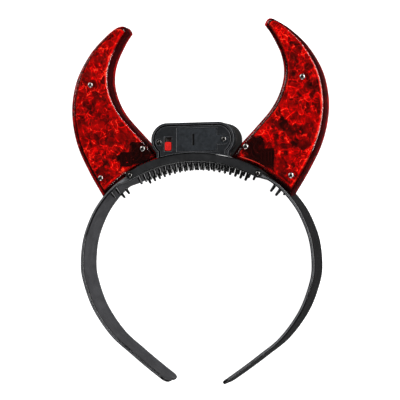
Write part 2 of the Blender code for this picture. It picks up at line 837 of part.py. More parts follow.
def horn_shares(distances):
    """Shares up the horn for each row of the surface."""
    _, _, inner, outer = EDGES
    length = (line_length(inner) + line_length(outer)) / 2
    return with_middle(*ring_shares(distances, length, 0.2), HORN_ROWS)


def merge_level(shaped):
    """Join the faces that lie level side by side."""
    bmesh.ops.recalc_face_normals(shaped, faces=shaped.faces)
    level = [face for face in shaped.faces
             if len({round(vert.co.z, 7) for vert in face.verts}) == 1 and len(face.verts) == 4]
    bmesh.ops.dissolve_faces(shaped, faces=level, use_verts=False)


def horn_surface(shaped, distances, levels, foot, sign):
    """A crowned sheet with a wall round it, down to the foot level."""
    ups = horn_shares(distances)
    rows = len(ups) - 1
    columns = 2 * (len(distances) - 1) + HORN_COLUMNS
    made = bmesh.ops.create_grid(shaped, x_segments=rows, y_segments=columns, size=1.0)
    for vert in made["verts"]:
        row = round((vert.co.x + 1) / 2 * rows)
        column = round((vert.co.y + 1) / 2 * columns)
        up = ups[row]
        width = (horn_point(up, 1.0) - horn_point(up, 0.0)).length
        acrosses = with_middle(*ring_shares(distances, width, 0.42), HORN_COLUMNS)
        ring = min(row, rows - row, column, columns - column, len(levels) - 1)
        point = horn_point(up, acrosses[column])
        vert.co = (point.x * sign, point.y, levels[ring])
    edge = [item for item in shaped.edges if item.is_boundary and item.verts[0] in set(made["verts"])]
    wall = bmesh.ops.extrude_edge_only(shaped, edges=edge)
    for item in wall["geom"]:
        if isinstance(item, bmesh.types.BMVert):
            item.co.z = foot
    return [item for item in wall["geom"]
            if isinstance(item, bmesh.types.BMEdge) and item.is_boundary]


def ring_profile(inset, top):
    """Distances in from the outline and heights of the rounded edge's rings."""
    radius = HORN_EDGE_ROUND - inset
    side = HORN_SIDE
    distances = [inset + radius * (1 - math.cos(math.radians(turn))) for turn in (0, 50, 90)]
    heights = [side + (top - side) * math.sin(math.radians(turn)) for turn in (0, 50, 90)]
    return distances, heights


def horn_shell(name, sign, face):
    """Front or back shell of a horn, open at the parting plane."""
    foot = HORN_PARTING + face * PARTING_GAP / 2
    shaped = bmesh.new()
    rims = []
    for inset in (0.0, HORN_WALL):
        distances, heights = ring_profile(inset, HORN_HALF - inset)
        levels = [HORN_PARTING + face * height for height in heights]
        rims.append(horn_surface(shaped, distances, levels, foot, sign))
    for outer, inner in zip(*rims):
        shaped.faces.new((*outer.verts, inner.verts[1], inner.verts[0]))
    merge_level(shaped)
    return from_bmesh(name, shaped)


def horn_screw_places(sign):
    """Places of a horn's three screws."""
    places = {}
    for row in HORN_SCREW_ROWS:
        point = horn_place(row)
        places[row["name"]] = (point.x * sign, point.y)
    return places


def lamp_block(sign, name, margin, depth):
    """The lamp holder's block in the horn's foot, larger by a margin all round."""
    x, y = LAMP_MIDDLE
    return block(name, x * sign, y, HORN_PARTING, LAMP_WIDTH + 2 * margin,
                 LAMP_HEIGHT + 2 * margin, depth)


def make_horn(side):
    """Both shells of one horn, with foil, lamp holder and screws."""
    sign = 1 if side == "right" else -1
    front = horn_shell(f"horn_front_{side}", sign, 1)
    back = horn_shell(f"horn_back_{side}", sign, -1)
    face = HORN_PARTING + HORN_HALF
    floor = HORN_PARTING - HORN_HALF
    post_top = face - HORN_WALL - POST_CLEARANCE
    seat = face - HORN_RECESS_DEPTH
    foil_low = HORN_PARTING + FOIL_RISE
    inset = HORN_WALL + FOIL_CLEARANCE
    shaped = bmesh.new()
    horn_surface(shaped, [inset], [foil_low + FOIL_THICKNESS], foil_low, sign)
    open_edges = [edge for edge in shaped.edges if edge.is_boundary]
    bmesh.ops.holes_fill(shaped, edges=open_edges)
    merge_level(shaped)
    foil = from_bmesh(f"foil_{side}", shaped)
    for name, (x, y) in horn_screw_places(sign).items():
        label = f"{name}_{side}"
        post = rod(f"post_{label}", x, y, floor + HORN_WALL / 2, post_top, POST_RADIUS)
        boolean(back, helper(post), "UNION")
        bore = rod(f"post_bore_{label}", x, y, floor + HORN_WALL, face, BORE_RADIUS)
        boolean(back, helper(bore))
        recess = rod(f"horn_recess_{label}", x, y, seat, face + HORN_WALL,
                     HORN_RECESS_RADIUS, 16)
        boolean(front, helper(recess))
        hole = rod(f"horn_hole_{label}", x, y, face - HORN_WALL * 2, face + HORN_WALL,
                   BORE_RADIUS)
        boolean(front, helper(hole))
        slot = rod(f"foil_hole_{label}", x, y, HORN_PARTING, face, POST_RADIUS + SEAT_GAP)
        boolean(foil, helper(slot))
        screw(f"horn_screw_{label}", "horn", x, y, seat)
    room = lamp_block(sign, f"foil_room_{side}", 2 * SEAT_GAP, LAMP_DEPTH * 2)
    boolean(foil, helper(room))
    lamp = lamp_block(sign, f"lamp_holder_{side}", 0.0, LAMP_DEPTH)
    round_edges(lamp, 0.0006)
    part(lamp, "lamp_black")
    part(foil, "red_foil")
    part(back, "red_plastic")
    return part(front, "red_plastic")


def make_box():
    """Battery box with its door, switch and screws."""
    make_case()
    make_cover()
    make_door()
    make_switch()
    x, y = DOOR_SCREW_AT
    screw("door_screw", "box", x, y, FACE_LEVEL)
    x, y = COVER_SCREW_AT
    screw("cover_screw", "box", x, y, cover_screw_seat())


make_band()
make_base()
make_box()
for horn_side in ("left", "right"):
    make_horn(horn_side)
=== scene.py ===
"""Looks of the light-up devil horns headband, lying on the far edge of its band."""

import math

import bmesh
import bpy
from mathutils import Matrix, Vector, noise


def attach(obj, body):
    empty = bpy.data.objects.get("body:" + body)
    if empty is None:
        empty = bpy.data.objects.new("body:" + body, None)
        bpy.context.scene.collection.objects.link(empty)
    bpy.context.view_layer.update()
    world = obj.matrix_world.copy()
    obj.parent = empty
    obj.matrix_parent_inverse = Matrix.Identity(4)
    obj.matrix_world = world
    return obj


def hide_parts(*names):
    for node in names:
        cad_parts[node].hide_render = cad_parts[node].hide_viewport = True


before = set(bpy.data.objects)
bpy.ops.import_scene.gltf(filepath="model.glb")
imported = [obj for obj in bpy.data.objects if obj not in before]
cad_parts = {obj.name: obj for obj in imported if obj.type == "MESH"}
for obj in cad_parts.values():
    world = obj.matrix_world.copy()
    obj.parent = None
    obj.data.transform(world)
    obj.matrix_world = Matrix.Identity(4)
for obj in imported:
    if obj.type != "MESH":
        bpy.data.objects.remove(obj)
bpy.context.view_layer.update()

# Sizes in metres, as in the solids
GAP = 0.0003
BORE = 0.00095
COUNTERBORE = 0.0019
POST_RADIUS = 0.0018
CROWN_RADIUS = 0.0817
CROWN_CENTRE = Vector((0.0, -CROWN_RADIUS))
BAND_DEPTH = 0.0209
BAND_WALL = 0.0020
BAND_HALF_WIDTH = 0.0707
COMB_WALL = 0.0040
CROWN_OUTER = CROWN_RADIUS + COMB_WALL / 2
CROWN_INNER = CROWN_RADIUS - COMB_WALL / 2
ARM_RADIUS = CROWN_OUTER - BAND_WALL / 2
CROWN_END = math.radians(36.5)
PAD_START = math.radians(28.9)
PAD_END = math.radians(34.1)
COMB_SHIFT = math.radians(-1.15)
BAND_DROP = 0.1302
BAND_EDGE_ROUND = 0.00085
WEB_OUTER = CROWN_OUTER + GAP + 0.0009
WEB_END = math.radians(24.6)
WEB_INSET = 0.0006
BASE_SEAT = WEB_OUTER + GAP
LIP_INNER = CROWN_INNER + 0.0008
LIP_OUTER = LIP_INNER + 0.0039
LIP_BACK = BAND_DEPTH + GAP
LIP_FRONT = LIP_BACK + 0.0017
BOX_FRONT = BAND_DEPTH + 0.0030
BOX_BACK = BOX_FRONT - 0.0175
COVER_BACK = BOX_FRONT - 0.0045
CASE_FRONT = COVER_BACK - GAP
FACE = BOX_FRONT - 0.0005
COVER_PLATE = 0.0024
COVER_INSIDE = FACE - COVER_PLATE
PARTING = BAND_DEPTH - 0.0064
BASE_SCREW_ANGLE = math.radians(28.37)
BASE_SCREW_RADIUS = CROWN_RADIUS + 0.0007
LUG_RADIUS = 0.0025
LUG_RECESS = 0.0009
BOX_WALL = 0.0014
BOX_CHEEK = 0.0219
BOX_END = (0.0155, 0.01115)
BOX_END_RADIUS = 0.00975
RIM_WIDTH = 0.0011
RIM_GROOVE = 0.0009
COVER_EDGE_ROUND = 0.00030
DOOR_MIDDLE = (0.00265, 0.0109)
DOOR_LENGTH = 0.0241
DOOR_HEIGHT = 0.0130
DOOR_THICKNESS = 0.0012
DOOR_LEDGE = 0.0012
DOOR_SEAT = FACE - DOOR_THICKNESS - GAP
TAB_HALF_HEIGHT = 0.0025
DOOR_SLOT_MIDDLE = (0.00055, 0.0109)
DOOR_SLOT_SIZE = (0.0011, 0.0068)
DOOR_SLOT_DEPTH = 0.0007
DOOR_SCREW = (0.0192, 0.0108)
COVER_SCREW = (-0.0206, 0.0098)
COVER_SCREW_SINK = 0.0012
WINDOW_MIDDLE = (-0.0150, 0.0086)
WINDOW_SIZE = (0.0046, 0.0084)
KNOB_MIDDLE = (-0.0150, 0.0073)
KNOB_HALF = (0.00185, 0.0025)
KNOB_CORNER = 0.0009
KNOB_RIBS = (0.0058, 0.0065, 0.0072, 0.0079, 0.0086)
KNOB_RIB_SIZE = (0.0030, 0.00028)
KNOB_RIB_DEPTH = 0.00022
HORN_HALF = 0.0070
HORN_FACE = PARTING + HORN_HALF
HORN_WALL = 0.0013
HORN_ROUND = 0.0032
HORN_SIDE = HORN_HALF * 0.52
HORN_ROOT_X = 0.02555
HORN_RECESS = 0.0006
HORN_RECESS_RADIUS = 0.0026
HORN_REACH = 0.0780
HORN_TOP = 0.0801
TIP_BULGE = 0.36
FILM_INSET = 0.0022
FILM_CLEARANCE = 0.0011
FILM_SINK = 0.0022
FILM_RELIEF = 0.0008
LAMP = (0.0431, 0.0004)
LAMP_SIZE = (0.0070, 0.0086)
LAMP_HALF_DEPTH = 0.005
LEAD_RADIUS = 0.00075
HEEL_ANGLE = math.radians(43.9)

# Shares across and up: of the horn for its edges and screws, of the band for its rows
HORN_INNER_EDGE = (
    (0.040, 0.096), (0.200, 0.206), (0.387, 0.342), (0.492, 0.469),
    (0.535, 0.600), (0.503, 0.734), (0.398, 0.874), (0.318, 0.949))
HORN_OUTER_EDGE = (
    (0.779, -0.094), (0.921, 0.094), (0.991, 0.279), (0.994, 0.451),
    (0.925, 0.629), (0.764, 0.804), (0.566, 0.930), (0.447, 0.981))
HORN_SCREWS = {"upper": (0.753, 0.564), "heel": (0.625, -0.132), "inner": (0.115, 0.080)}
HORN_SCREW_TURNS = {"upper": 20, "heel": 35, "inner": 60}
# Radius and rise of the head, and length, of each kind of screw
SCREW_KINDS = {
    "base": (0.0015, 0.0009, 0.0070),
    "box": (0.0015, 0.0009, 0.0060),
    "horn": (0.00175, 0.0012, 0.0085),
}
SCREW_SHANK = 0.00065
# Shares of the head's radius and of its rise
SCREW_HEAD = (
    (0.0, 1.0), (0.30, 0.99), (0.55, 0.95), (0.74, 0.85),
    (0.88, 0.66), (0.97, 0.38), (1.0, 0.10), (0.98, 0.0))
BAND_ROWS = (
    (0.336, 0.061), (0.659, 0.148), (0.919, 0.270), (1.000, 0.397))
ARM_ROWS = (
    (0.979, 0.494), (0.890, 0.633), (0.731, 0.766), (0.549, 0.858), (0.397, 0.929),
    (0.235, 1.000))


# Materials

def new_material(name):
    """A material with its tree emptied down to the output."""
    made = bpy.data.materials.new(name)
    made.use_nodes = True
    tree = made.node_tree
    tree.nodes.clear()
    output = tree.nodes.new("ShaderNodeOutputMaterial")
    return made, tree, output


def principled(name, values):
    """A material of one Principled shader with its plain values set."""
    made, tree, output = new_material(name)
    shader = tree.nodes.new("ShaderNodeBsdfPrincipled")
    for socket, value in values.items():
        shader.inputs[socket].default_value = value
    tree.links.new(shader.outputs["BSDF"], output.inputs["Surface"])
    return made, tree, shader


def noise_node(tree, scale, detail=3.0, distortion=0.0):
    """A noise texture in the object's own metres."""
    place = tree.nodes.new("ShaderNodeTexCoord")
    texture = tree.nodes.new("ShaderNodeTexNoise")
    texture.inputs["Scale"].default_value = scale
    texture.inputs["Detail"].default_value = detail
    texture.inputs["Distortion"].default_value = distortion
    tree.links.new(place.outputs["Object"], texture.inputs["Vector"])
    return texture.outputs["Fac"]


def spread(tree, source, low, high, start=0.3, end=0.7):
    """A value carried from one range to another."""
    node = tree.nodes.new("ShaderNodeMapRange")
    node.inputs["From Min"].default_value = start
    node.inputs["From Max"].default_value = end
    node.inputs["To Min"].default_value = low
    node.inputs["To Max"].default_value = high
    tree.links.new(source, node.inputs["Value"])
    return node.outputs["Result"]


def ramp(tree, source, stops):
    """Colours along a value."""
    node = tree.nodes.new("ShaderNodeValToRGB")
    elements = node.color_ramp.elements
    while len(elements) < len(stops):
        elements.new(0.5)
    for element, (place, colour) in zip(elements, stops):
        element.position = place
        element.color = (*colour, 1.0)
    tree.links.new(source, node.inputs["Fac"])
    return node.outputs["Color"]


def bump(tree, source, distance, strength=1.0):
    """A bump normal from a value."""
    node = tree.nodes.new("ShaderNodeBump")
    node.inputs["Distance"].default_value = distance
    node.inputs["Strength"].default_value = strength
    tree.links.new(source, node.inputs["Height"])
    return node.outputs["Normal"]


def plastic(name, dark, pale, roughness, grain=0.00002, grain_scale=5200.0,
            specular=0.5, cloud_scale=130.0):
    """Moulded plastic with grain, faint cloudiness and handling marks."""
    made, tree, shader = principled(name, {"Specular IOR Level": specular})
    cloud = noise_node(tree, cloud_scale, 4.0, 0.6)
    tree.links.new(ramp(tree, cloud, ((0.35, dark), (0.68, pale))), shader.inputs["Base Color"])
    rubbed = noise_node(tree, 420.0, 5.0, 1.5)
    tree.links.new(spread(tree, rubbed, *roughness), shader.inputs["Roughness"])
    tree.links.new(bump(tree, noise_node(tree, grain_scale, 2.0), grain), shader.inputs["Normal"])
    return made


def steel(name, bright):
    """Zinc-plated screw steel, a little stained."""
    made, tree, shader = principled(name, {"Metallic": 1.0})
    stain = noise_node(tree, 1400.0, 4.0, 0.8)
    dull = tuple(value * bright for value in (0.36, 0.33, 0.31))
    clean = tuple(value * bright for value in (0.86, 0.84, 0.82))
    tree.links.new(ramp(tree, stain, ((0.34, dull), (0.62, clean))), shader.inputs["Base Color"])
    tree.links.new(spread(tree, stain, 0.36, 0.16), shader.inputs["Roughness"])
    tree.links.new(bump(tree, noise_node(tree, 9000.0, 2.0), 0.00001), shader.inputs["Normal"])
    return made


def clear_red(name, deep, tint, body, haze):
    """Clear red plastic: see-through, a little hazy, glossier at grazing angles."""
    made, tree, output = new_material(name)
    clear = tree.nodes.new("ShaderNodeBsdfTransparent")
    flow = noise_node(tree, 160.0, 3.0, 1.2)
    tree.links.new(ramp(tree, flow, ((0.40, deep), (0.62, tint))), clear.inputs["Color"])
    solid = tree.nodes.new("ShaderNodeBsdfDiffuse")
    solid.inputs["Color"].default_value = (*body, 1.0)
    hazy = tree.nodes.new("ShaderNodeMixShader")
    hazy.inputs["Fac"].default_value = haze
    tree.links.new(clear.outputs["BSDF"], hazy.inputs[1])
    tree.links.new(solid.outputs["BSDF"], hazy.inputs[2])
    gloss = tree.nodes.new("ShaderNodeBsdfGlossy")
    tree.links.new(spread(tree, noise_node(tree, 160.0, 2.0), 0.105, 0.125),
                   gloss.inputs["Roughness"])
    tree.links.new(bump(tree, noise_node(tree, 60.0, 2.0), 0.00002), gloss.inputs["Normal"])
    edge = tree.nodes.new("ShaderNodeLayerWeight")
    edge.inputs["Blend"].default_value = 0.5
    steep = arithmetic(tree, "POWER", edge.outputs["Facing"], 5.0)
    shader = tree.nodes.new("ShaderNodeMixShader")
    tree.links.new(spread(tree, steep, 0.03, 0.50, 0.0, 1.0), shader.inputs["Fac"])
    tree.links.new(hazy.outputs["Shader"], shader.inputs[1])
    tree.links.new(gloss.outputs["BSDF"], shader.inputs[2])
    tree.links.new(shader.outputs["Shader"], output.inputs["Surface"])
    return made


def arithmetic(tree, operation, *values):
    """A sum or product of values and numbers."""
    node = tree.nodes.new("ShaderNodeMath")
    node.operation = operation
    for socket, value in zip(node.inputs, values):
        if isinstance(value, float):
            socket.default_value = value
        else:
            tree.links.new(value, socket)
    return node.outputs["Value"]


def moved_place(tree, scale, amount):
    """The object's own place, pushed about by a noise."""
    place_node = tree.nodes.new("ShaderNodeTexCoord")
    push = tree.nodes.new("ShaderNodeVectorMath")
    push.operation = "MULTIPLY_ADD"
    push.inputs[1].default_value = (amount, amount, amount)
    tree.links.new(noise_node(tree, scale, 1.0).node.outputs["Color"], push.inputs[0])
    tree.links.new(place_node.outputs["Object"], push.inputs[2])
    return push.outputs["Vector"]


def fold_line(tree, place, kind, scale, reach, thick):
    """Thin fold lines of a crumple pattern: along its cells, or curved about their middles."""
    cells = tree.nodes.new("ShaderNodeTexVoronoi")
    cells.feature = kind
    cells.inputs["Scale"].default_value = scale
    tree.links.new(place, cells.inputs["Vector"])
    off = arithmetic(tree, "ABSOLUTE", arithmetic(tree, "SUBTRACT", cells.outputs["Distance"], reach))
    return spread(tree, off, 1.0, 0.0, 0.0, thick)


def foil_material(name):
    """Crinkled red film: its tone, which carries painted light, painted shade and painted glints, comes from
    its points, and fold lines brighten it as painted highlights.
    """
    made, tree, shader = principled(name, {"Metallic": 0.10})
    film_tone_and_painted_light = tree.nodes.new("ShaderNodeAttribute")
    film_tone_and_painted_light.attribute_name = "film_tone_and_painted_light"
    # Very dark at the low end, used by the painted shade; red in the middle; orange to pale yellow-white at
    # the top for painted glints
    stops = (
        (0.00, (0.002, 0.0, 0.0)), (0.20, (0.12, 0.0, 0.0)), (0.48, (0.62, 0.0005, 0.001)),
        (0.70, (1.0, 0.010, 0.008)), (0.88, (1.0, 0.16, 0.10)), (1.00, (1.0, 0.85, 0.50)))
    place = moved_place(tree, 150.0, 0.0035)
    total = film_tone_and_painted_light.outputs["Fac"]
    # Kind of line, cell scale, reach, thickness, scale of its patches, strength
    lines = (
        ("DISTANCE_TO_EDGE", 175.0, 0.0, 0.065, 110.0, 1.7),
        ("DISTANCE_TO_EDGE", 340.0, 0.0, 0.095, 190.0, 1.4),
        ("F1", 105.0, 0.34, 0.042, 210.0, 1.8),
        ("F1", 190.0, 0.30, 0.075, 260.0, 1.6))
    # Each fold line lifts the tone in patches: a painted highlight along the fold
    for kind, scale, reach, thick, patch_scale, strength in lines:
        line = fold_line(tree, place, kind, scale, reach, thick)
        patch = spread(tree, noise_node(tree, patch_scale, 1.0), 0.0, strength, 0.46, 0.60)
        painted_highlight_gain = arithmetic(tree, "MULTIPLY_ADD", line, patch, 1.0)
        total = arithmetic(tree, "MULTIPLY", total, painted_highlight_gain)
    tree.links.new(ramp(tree, total, stops), shader.inputs["Base Color"])
    tree.links.new(spread(tree, noise_node(tree, 400.0, 3.0, 1.0), 0.30, 0.50),
                   shader.inputs["Roughness"])
    tree.links.new(bump(tree, noise_node(tree, 1500.0, 2.0, 1.0), 0.00001), shader.inputs["Normal"])
    return made


MATERIALS = {
    "band_outer": plastic("band_outer", (0.003, 0.003, 0.0035), (0.006, 0.006, 0.0065),
                          (0.24, 0.36), specular=0.35),
    "band_edge": plastic("band_edge", (0.002, 0.002, 0.0022), (0.004, 0.004, 0.0045),
                         (0.16, 0.24)),
    # Paler, rougher copy of the band's dark plastic for the inner faces; the paler colour is painted light,
    # for the light they reflect
    "band_inner_painted_light": plastic("band_inner_painted_light", (0.024, 0.024, 0.026), (0.038, 0.038, 0.041),
                          (0.42, 0.56), grain=0.00004, specular=0.35),
    # Pale grey copy of the dark band plastic: a painted highlight for rounded edges that catch the light
    "rim": plastic("rim", (0.070, 0.072, 0.077), (0.125, 0.129, 0.137), (0.30, 0.44)),
    "strip": plastic("strip", (0.006, 0.0063, 0.0068), (0.012, 0.0125, 0.0135), (0.28, 0.42)),
    "peg": plastic("peg", (0.001, 0.001, 0.0011), (0.0022, 0.0022, 0.0025), (0.12, 0.20),
                   specular=0.6),
    "case": plastic("case", (0.004, 0.0033, 0.0032), (0.009, 0.007, 0.0065), (0.14, 0.26)),
    "cover": plastic("cover", (0.0030, 0.0035, 0.0043), (0.0085, 0.0098, 0.0118), (0.36, 0.52),
                     grain=0.00006, grain_scale=3600.0, specular=0.3, cloud_scale=700.0),
    "door": plastic("door", (0.0060, 0.0075, 0.0092), (0.0160, 0.0190, 0.0230), (0.36, 0.55),
                    grain=0.00007, grain_scale=3000.0, specular=0.3, cloud_scale=620.0),
    # Very dark plastic of the lamp holders and leads; faces cut by tools of this plastic take it too, as
    # painted shade in recesses
    "lamp": plastic("lamp", (0.001, 0.001, 0.001), (0.002, 0.0018, 0.002), (0.45, 0.60), specular=0.2),
    "knob": plastic("knob", (0.42, 0.004, 0.004), (0.62, 0.012, 0.008), (0.36, 0.50), specular=0.3),
    "contact": plastic("contact", (0.012, 0.012, 0.011), (0.10, 0.10, 0.095), (0.24, 0.40)),
    "steel": steel("steel", 0.60),
    # The same steel at a quarter of the brightness: painted shade for the screws sunk in the strip and the
    # box
    "steel_dim": steel("steel_dim", 0.25),
    "shell": clear_red("shell", (0.92, 0.42, 0.38), (0.98, 0.52, 0.46), (0.12, 0.0, 0.0), 0.015),
    # Darker, hazier copy of the clear red for the side walls and outer fillet rings: painted shade
    "shell_side_painted_shade": clear_red("shell_side_painted_shade", (0.10, 0.0, 0.002), (0.50, 0.01, 0.01),
                            (0.05, 0.0, 0.001), 0.35),
    "foil": foil_material("foil"),
}


# Shapes

def on_crown(radius, angle):
    """A point at a radius and an angle from the top of the crown arc."""
    return CROWN_CENTRE + Vector((math.sin(angle), math.cos(angle))) * radius


def arc(centre, radius, start, end, count):
    """Points along a circle arc, angles from +X."""
    return [Vector(centre) + Vector((math.cos(start + (end - start) * step / count),
                                     math.sin(start + (end - start) * step / count))) * radius
            for step in range(count + 1)]


def smooth_line(points, steps):
    """Points on a smooth line through the given ones."""
    padded = [points[0] * 2 - points[1], *points, points[-1] * 2 - points[-2]]
    line = []
    for index in range(1, len(padded) - 2):
        before, start, end, after = padded[index - 1:index + 3]
        for step in range(steps):
            t = step / steps
            line.append(0.5 * (
                2 * start
                + (end - before) * t
                + (2 * before - 5 * start + 4 * end - after) * t ** 2
                + (3 * start - before - 3 * end + after) * t ** 3))
    line.append(points[-1])
    return line


def offset_line(line, distance):
    """The line moved to its left by a distance."""
    moved = []
    for index, point in enumerate(line):
        ahead = line[min(index + 1, len(line) - 1)]
        behind = line[max(index - 1, 0)]
        along = (ahead - behind).normalized()
        moved.append(point + Vector((-along.y, along.x)) * distance)
    return moved


def mirrored(points):
    """The points on the other side of the middle plane."""
    return [Vector((-point.x, point.y)) for point in points]


def at_length(line, wanted):
    """The point at a length along a line."""
    done = 0.0
    for start, end in zip(line, line[1:]):
        stretch = (end - start).length
        if done + stretch >= wanted:
            return start.lerp(end, (wanted - done) / stretch)
        done += stretch
    return line[-1].copy()


def line_length(line):
    """Length of a line of points."""
    return sum((end - start).length for start, end in zip(line, line[1:]))


def band_route(steps):
    """Middle of the band's wall from the end of the crown arc to the tip."""
    start = on_crown(ARM_RADIUS, CROWN_END)
    fall = -BAND_DROP - start.y
    points = [on_crown(ARM_RADIUS, CROWN_END - math.radians(6)), start]
    for across, down in BAND_ROWS:
        points.append(Vector((start.x + across * (BAND_HALF_WIDTH - start.x), start.y + down * fall)))
    for across, down in ARM_ROWS:
        points.append(Vector((across * BAND_HALF_WIDTH, start.y + down * fall)))
    return smooth_line(points, steps)[steps:]


def mesh_object(name, verts, faces, materials, slots=None):
    """A smooth-shaded object from points and faces."""
    shape = bpy.data.meshes.new(name)
    shape.from_pydata([tuple(vert) for vert in verts], [], faces)
    for material in materials:
        shape.materials.append(MATERIALS[material])
    if slots:
        shape.polygons.foreach_set("material_index", slots)
    shaped = bmesh.new()
    shaped.from_mesh(shape)
    bmesh.ops.recalc_face_normals(shaped, faces=shaped.faces)
    shaped.to_mesh(shape)
    shaped.free()
    item = bpy.data.objects.new(name, shape)
    bpy.context.scene.collection.objects.link(item)
    return item


def ring_faces(start, rows, sides):
    """Faces between closed rings of points that follow each other."""
    faces = []
    for row in range(rows - 1):
        low, high = start + row * sides, start + (row + 1) * sides
        for side in range(sides):
            after = (side + 1) % sides
            faces.append([low + side, low + after, high + after, high + side])
    return faces


def capped_rings(start, rows, sides):
    """Faces between closed rings of points, and over both ends."""
    last = start + (rows - 1) * sides
    ends = [list(range(start, start + sides))[::-1], list(range(last, last + sides))]
    return ring_faces(start, rows, sides) + ends


def grid_faces(start, rows, columns):
    """Faces of a grid of points."""
    firsts = [start + row * columns + column for row in range(rows - 1) for column in range(columns - 1)]
    return [[first, first + 1, first + columns + 1, first + columns] for first in firsts]


def flat_solid(name, outline, bottom, top, material):
    """A flat outline extruded between two levels."""
    count = len(outline)
    verts = [(point.x, point.y, level) for level in (bottom, top) for point in outline]
    faces = [list(range(count))[::-1], list(range(count, 2 * count))] + ring_faces(0, 2, count)
    return mesh_object(name, verts, faces, [material])


def rod(name, x, y, bottom, top, radius, material, sides=48):
    """A round rod along Z."""
    ring = arc((x, y), radius, 0.0, 2 * math.pi * (1 - 1 / sides), sides - 1)
    return flat_solid(name, ring, bottom, top, material)


def slab(name, x, y, low, high, width, height, material, turn=0.0):
    """A turned box by its middle and its levels."""
    spin = Matrix.Rotation(turn, 2)
    outline = [Vector((x, y)) + spin @ Vector((sx * width / 2, sy * height / 2))
               for sx, sy in ((-1, -1), (1, -1), (1, 1), (-1, 1))]
    return flat_solid(name, outline, low, high, material)


def apply_steps(item):
    """Turn the object's modifiers into its mesh."""
    bpy.context.view_layer.update()
    made = bpy.data.meshes.new_from_object(item.evaluated_get(bpy.context.evaluated_depsgraph_get()))
    item.modifiers.clear()
    item.data = made


def cut(item, *tools, operation="DIFFERENCE"):
    """Cut tools from an object, or join them on, and remove them."""
    for tool in tools:
        step = item.modifiers.new(tool.name, "BOOLEAN")
        step.operation = operation
        step.solver = "EXACT"
        step.material_mode = "TRANSFER"
        step.object = tool
        apply_steps(item)
        bpy.data.objects.remove(tool, do_unlink=True)


def soften(item, width, segments=3, angle=40):
    """Round the sharp edges and smooth the shading."""
    step = item.modifiers.new("edges", "BEVEL")
    step.width = width
    step.segments = segments
    step.limit_method = "ANGLE"
    step.angle_limit = math.radians(angle)
    apply_steps(item)
    shade(item)
    even = item.modifiers.new("even", "WEIGHTED_NORMAL")
    even.keep_sharp = True
    apply_steps(item)


def shade(item, angle=38):
    """Smooth shading with sharp edges kept."""
    item.data.shade_smooth()
    item.data.set_sharp_from_angle(angle=math.radians(angle))


def paint_edge_highlight(item, wanted):
    """Give the pale edge plastic, a painted highlight, to the faces that a test picks."""
    item.data.materials.append(MATERIALS["rim"])
    last = len(item.data.materials) - 1
    for face in item.data.polygons:
        if wanted(face.center, face.normal):
            face.material_index = last


def place(item, body, slot, *nodes):
    """Hand a finished piece to the frame."""
    if nodes:
        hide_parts(*nodes)
    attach(item, body)


# Band

def band_sections(steps, shift):
    """Stations from the middle of the crown to a tip: outer and inner point, the comb longer by a shift."""
    sections = []
    crown_steps = 60
    for step in range(crown_steps):
        angle = CROWN_END * step / crown_steps
        t = min(max((angle - PAD_START - shift) / (PAD_END - PAD_START), 0.0), 1.0)
        pad = on_crown(CROWN_INNER, PAD_START + shift).lerp(
            on_crown(ARM_RADIUS - BAND_WALL / 2, PAD_END + shift), t)
        inner = CROWN_INNER if t == 0.0 else (pad - CROWN_CENTRE).length
        if angle > PAD_END + shift:
            inner = ARM_RADIUS - BAND_WALL / 2
        sections.append((on_crown(CROWN_OUTER, angle), on_crown(inner, angle)))
    route = band_route(steps)
    sections += list(zip(offset_line(route, BAND_WALL / 2), offset_line(route, -BAND_WALL / 2)))
    return sections


def tip_shortening(level):
    """How far the tip falls short at a level, for its two lobes and the notch between."""
    lobe, deep, wide = 0.0048, 0.0020, 0.0034
    from_edge = min(level, BAND_DEPTH - level)
    short = max(lobe - from_edge, 0.0)
    corner = lobe - math.sqrt(max(lobe ** 2 - short ** 2, 0.0))
    from_middle = abs(level - BAND_DEPTH / 2) / (wide / 2)
    return max(corner, deep * max(0.0, 1 - from_middle ** 2))


def band_profile(edge):
    """Levels across the band with how far each is set in, for its rounded edges."""
    turns = [math.radians(turn) for turn in (0, 22.5, 45, 67.5, 90)]
    low = [(edge * (1 - math.cos(turn)), edge * (1 - math.sin(turn))) for turn in turns]
    middle = [(edge + (BAND_DEPTH - 2 * edge) * step / 40, 0.0) for step in range(1, 40)]
    return low + middle + [(BAND_DEPTH - level, inset) for level, inset in reversed(low)]


def band_half(shift, levels):
    """Rings of points from the middle of the crown to one tip, on the right-hand side."""
    sections = band_sections(10, shift)
    outer_line = [outer for outer, _ in sections]
    inner_line = [inner for _, inner in sections]
    trim = 0.0062
    outer_length, inner_length = line_length(outer_line) - trim, line_length(inner_line) - trim
    rings = []
    count = 230
    for step in range(count + 1):
        share = 1 - (1 - step / count) ** 1.25
        outer = at_length(outer_line, share * outer_length)
        inner = at_length(inner_line, share * inner_length)
        across = outer - inner
        insets = [min(inset / across.length, 0.5) for _, inset in levels]
        rings.append([(outer - across * inset, level) for inset, (level, _) in zip(insets, levels)]
                     + [(inner + across * inset, level) for inset, (level, _) in zip(insets, levels)][::-1])
    tips = ((0.25, 1), (0.5, 1), (0.7, 1), (0.84, 1), (0.90, 0.97), (0.95, 0.86), (0.98, 0.68), (1.0, 0.42))
    for share, thin in tips:
        outer_side, inner_side = [], []
        for level, inset in levels:
            reach = (trim - tip_shortening(level)) * share
            outer = at_length(outer_line, outer_length + reach)
            inner = at_length(inner_line, inner_length + reach)
            half = (outer - inner) / 2
            offset = half * min(thin, max(1 - inset / half.length, 0.0))
            outer_side.append(((outer + inner) / 2 + offset, level))
            inner_side.append(((outer + inner) / 2 - offset, level))
        rings.append(outer_side + inner_side[::-1])
    return rings


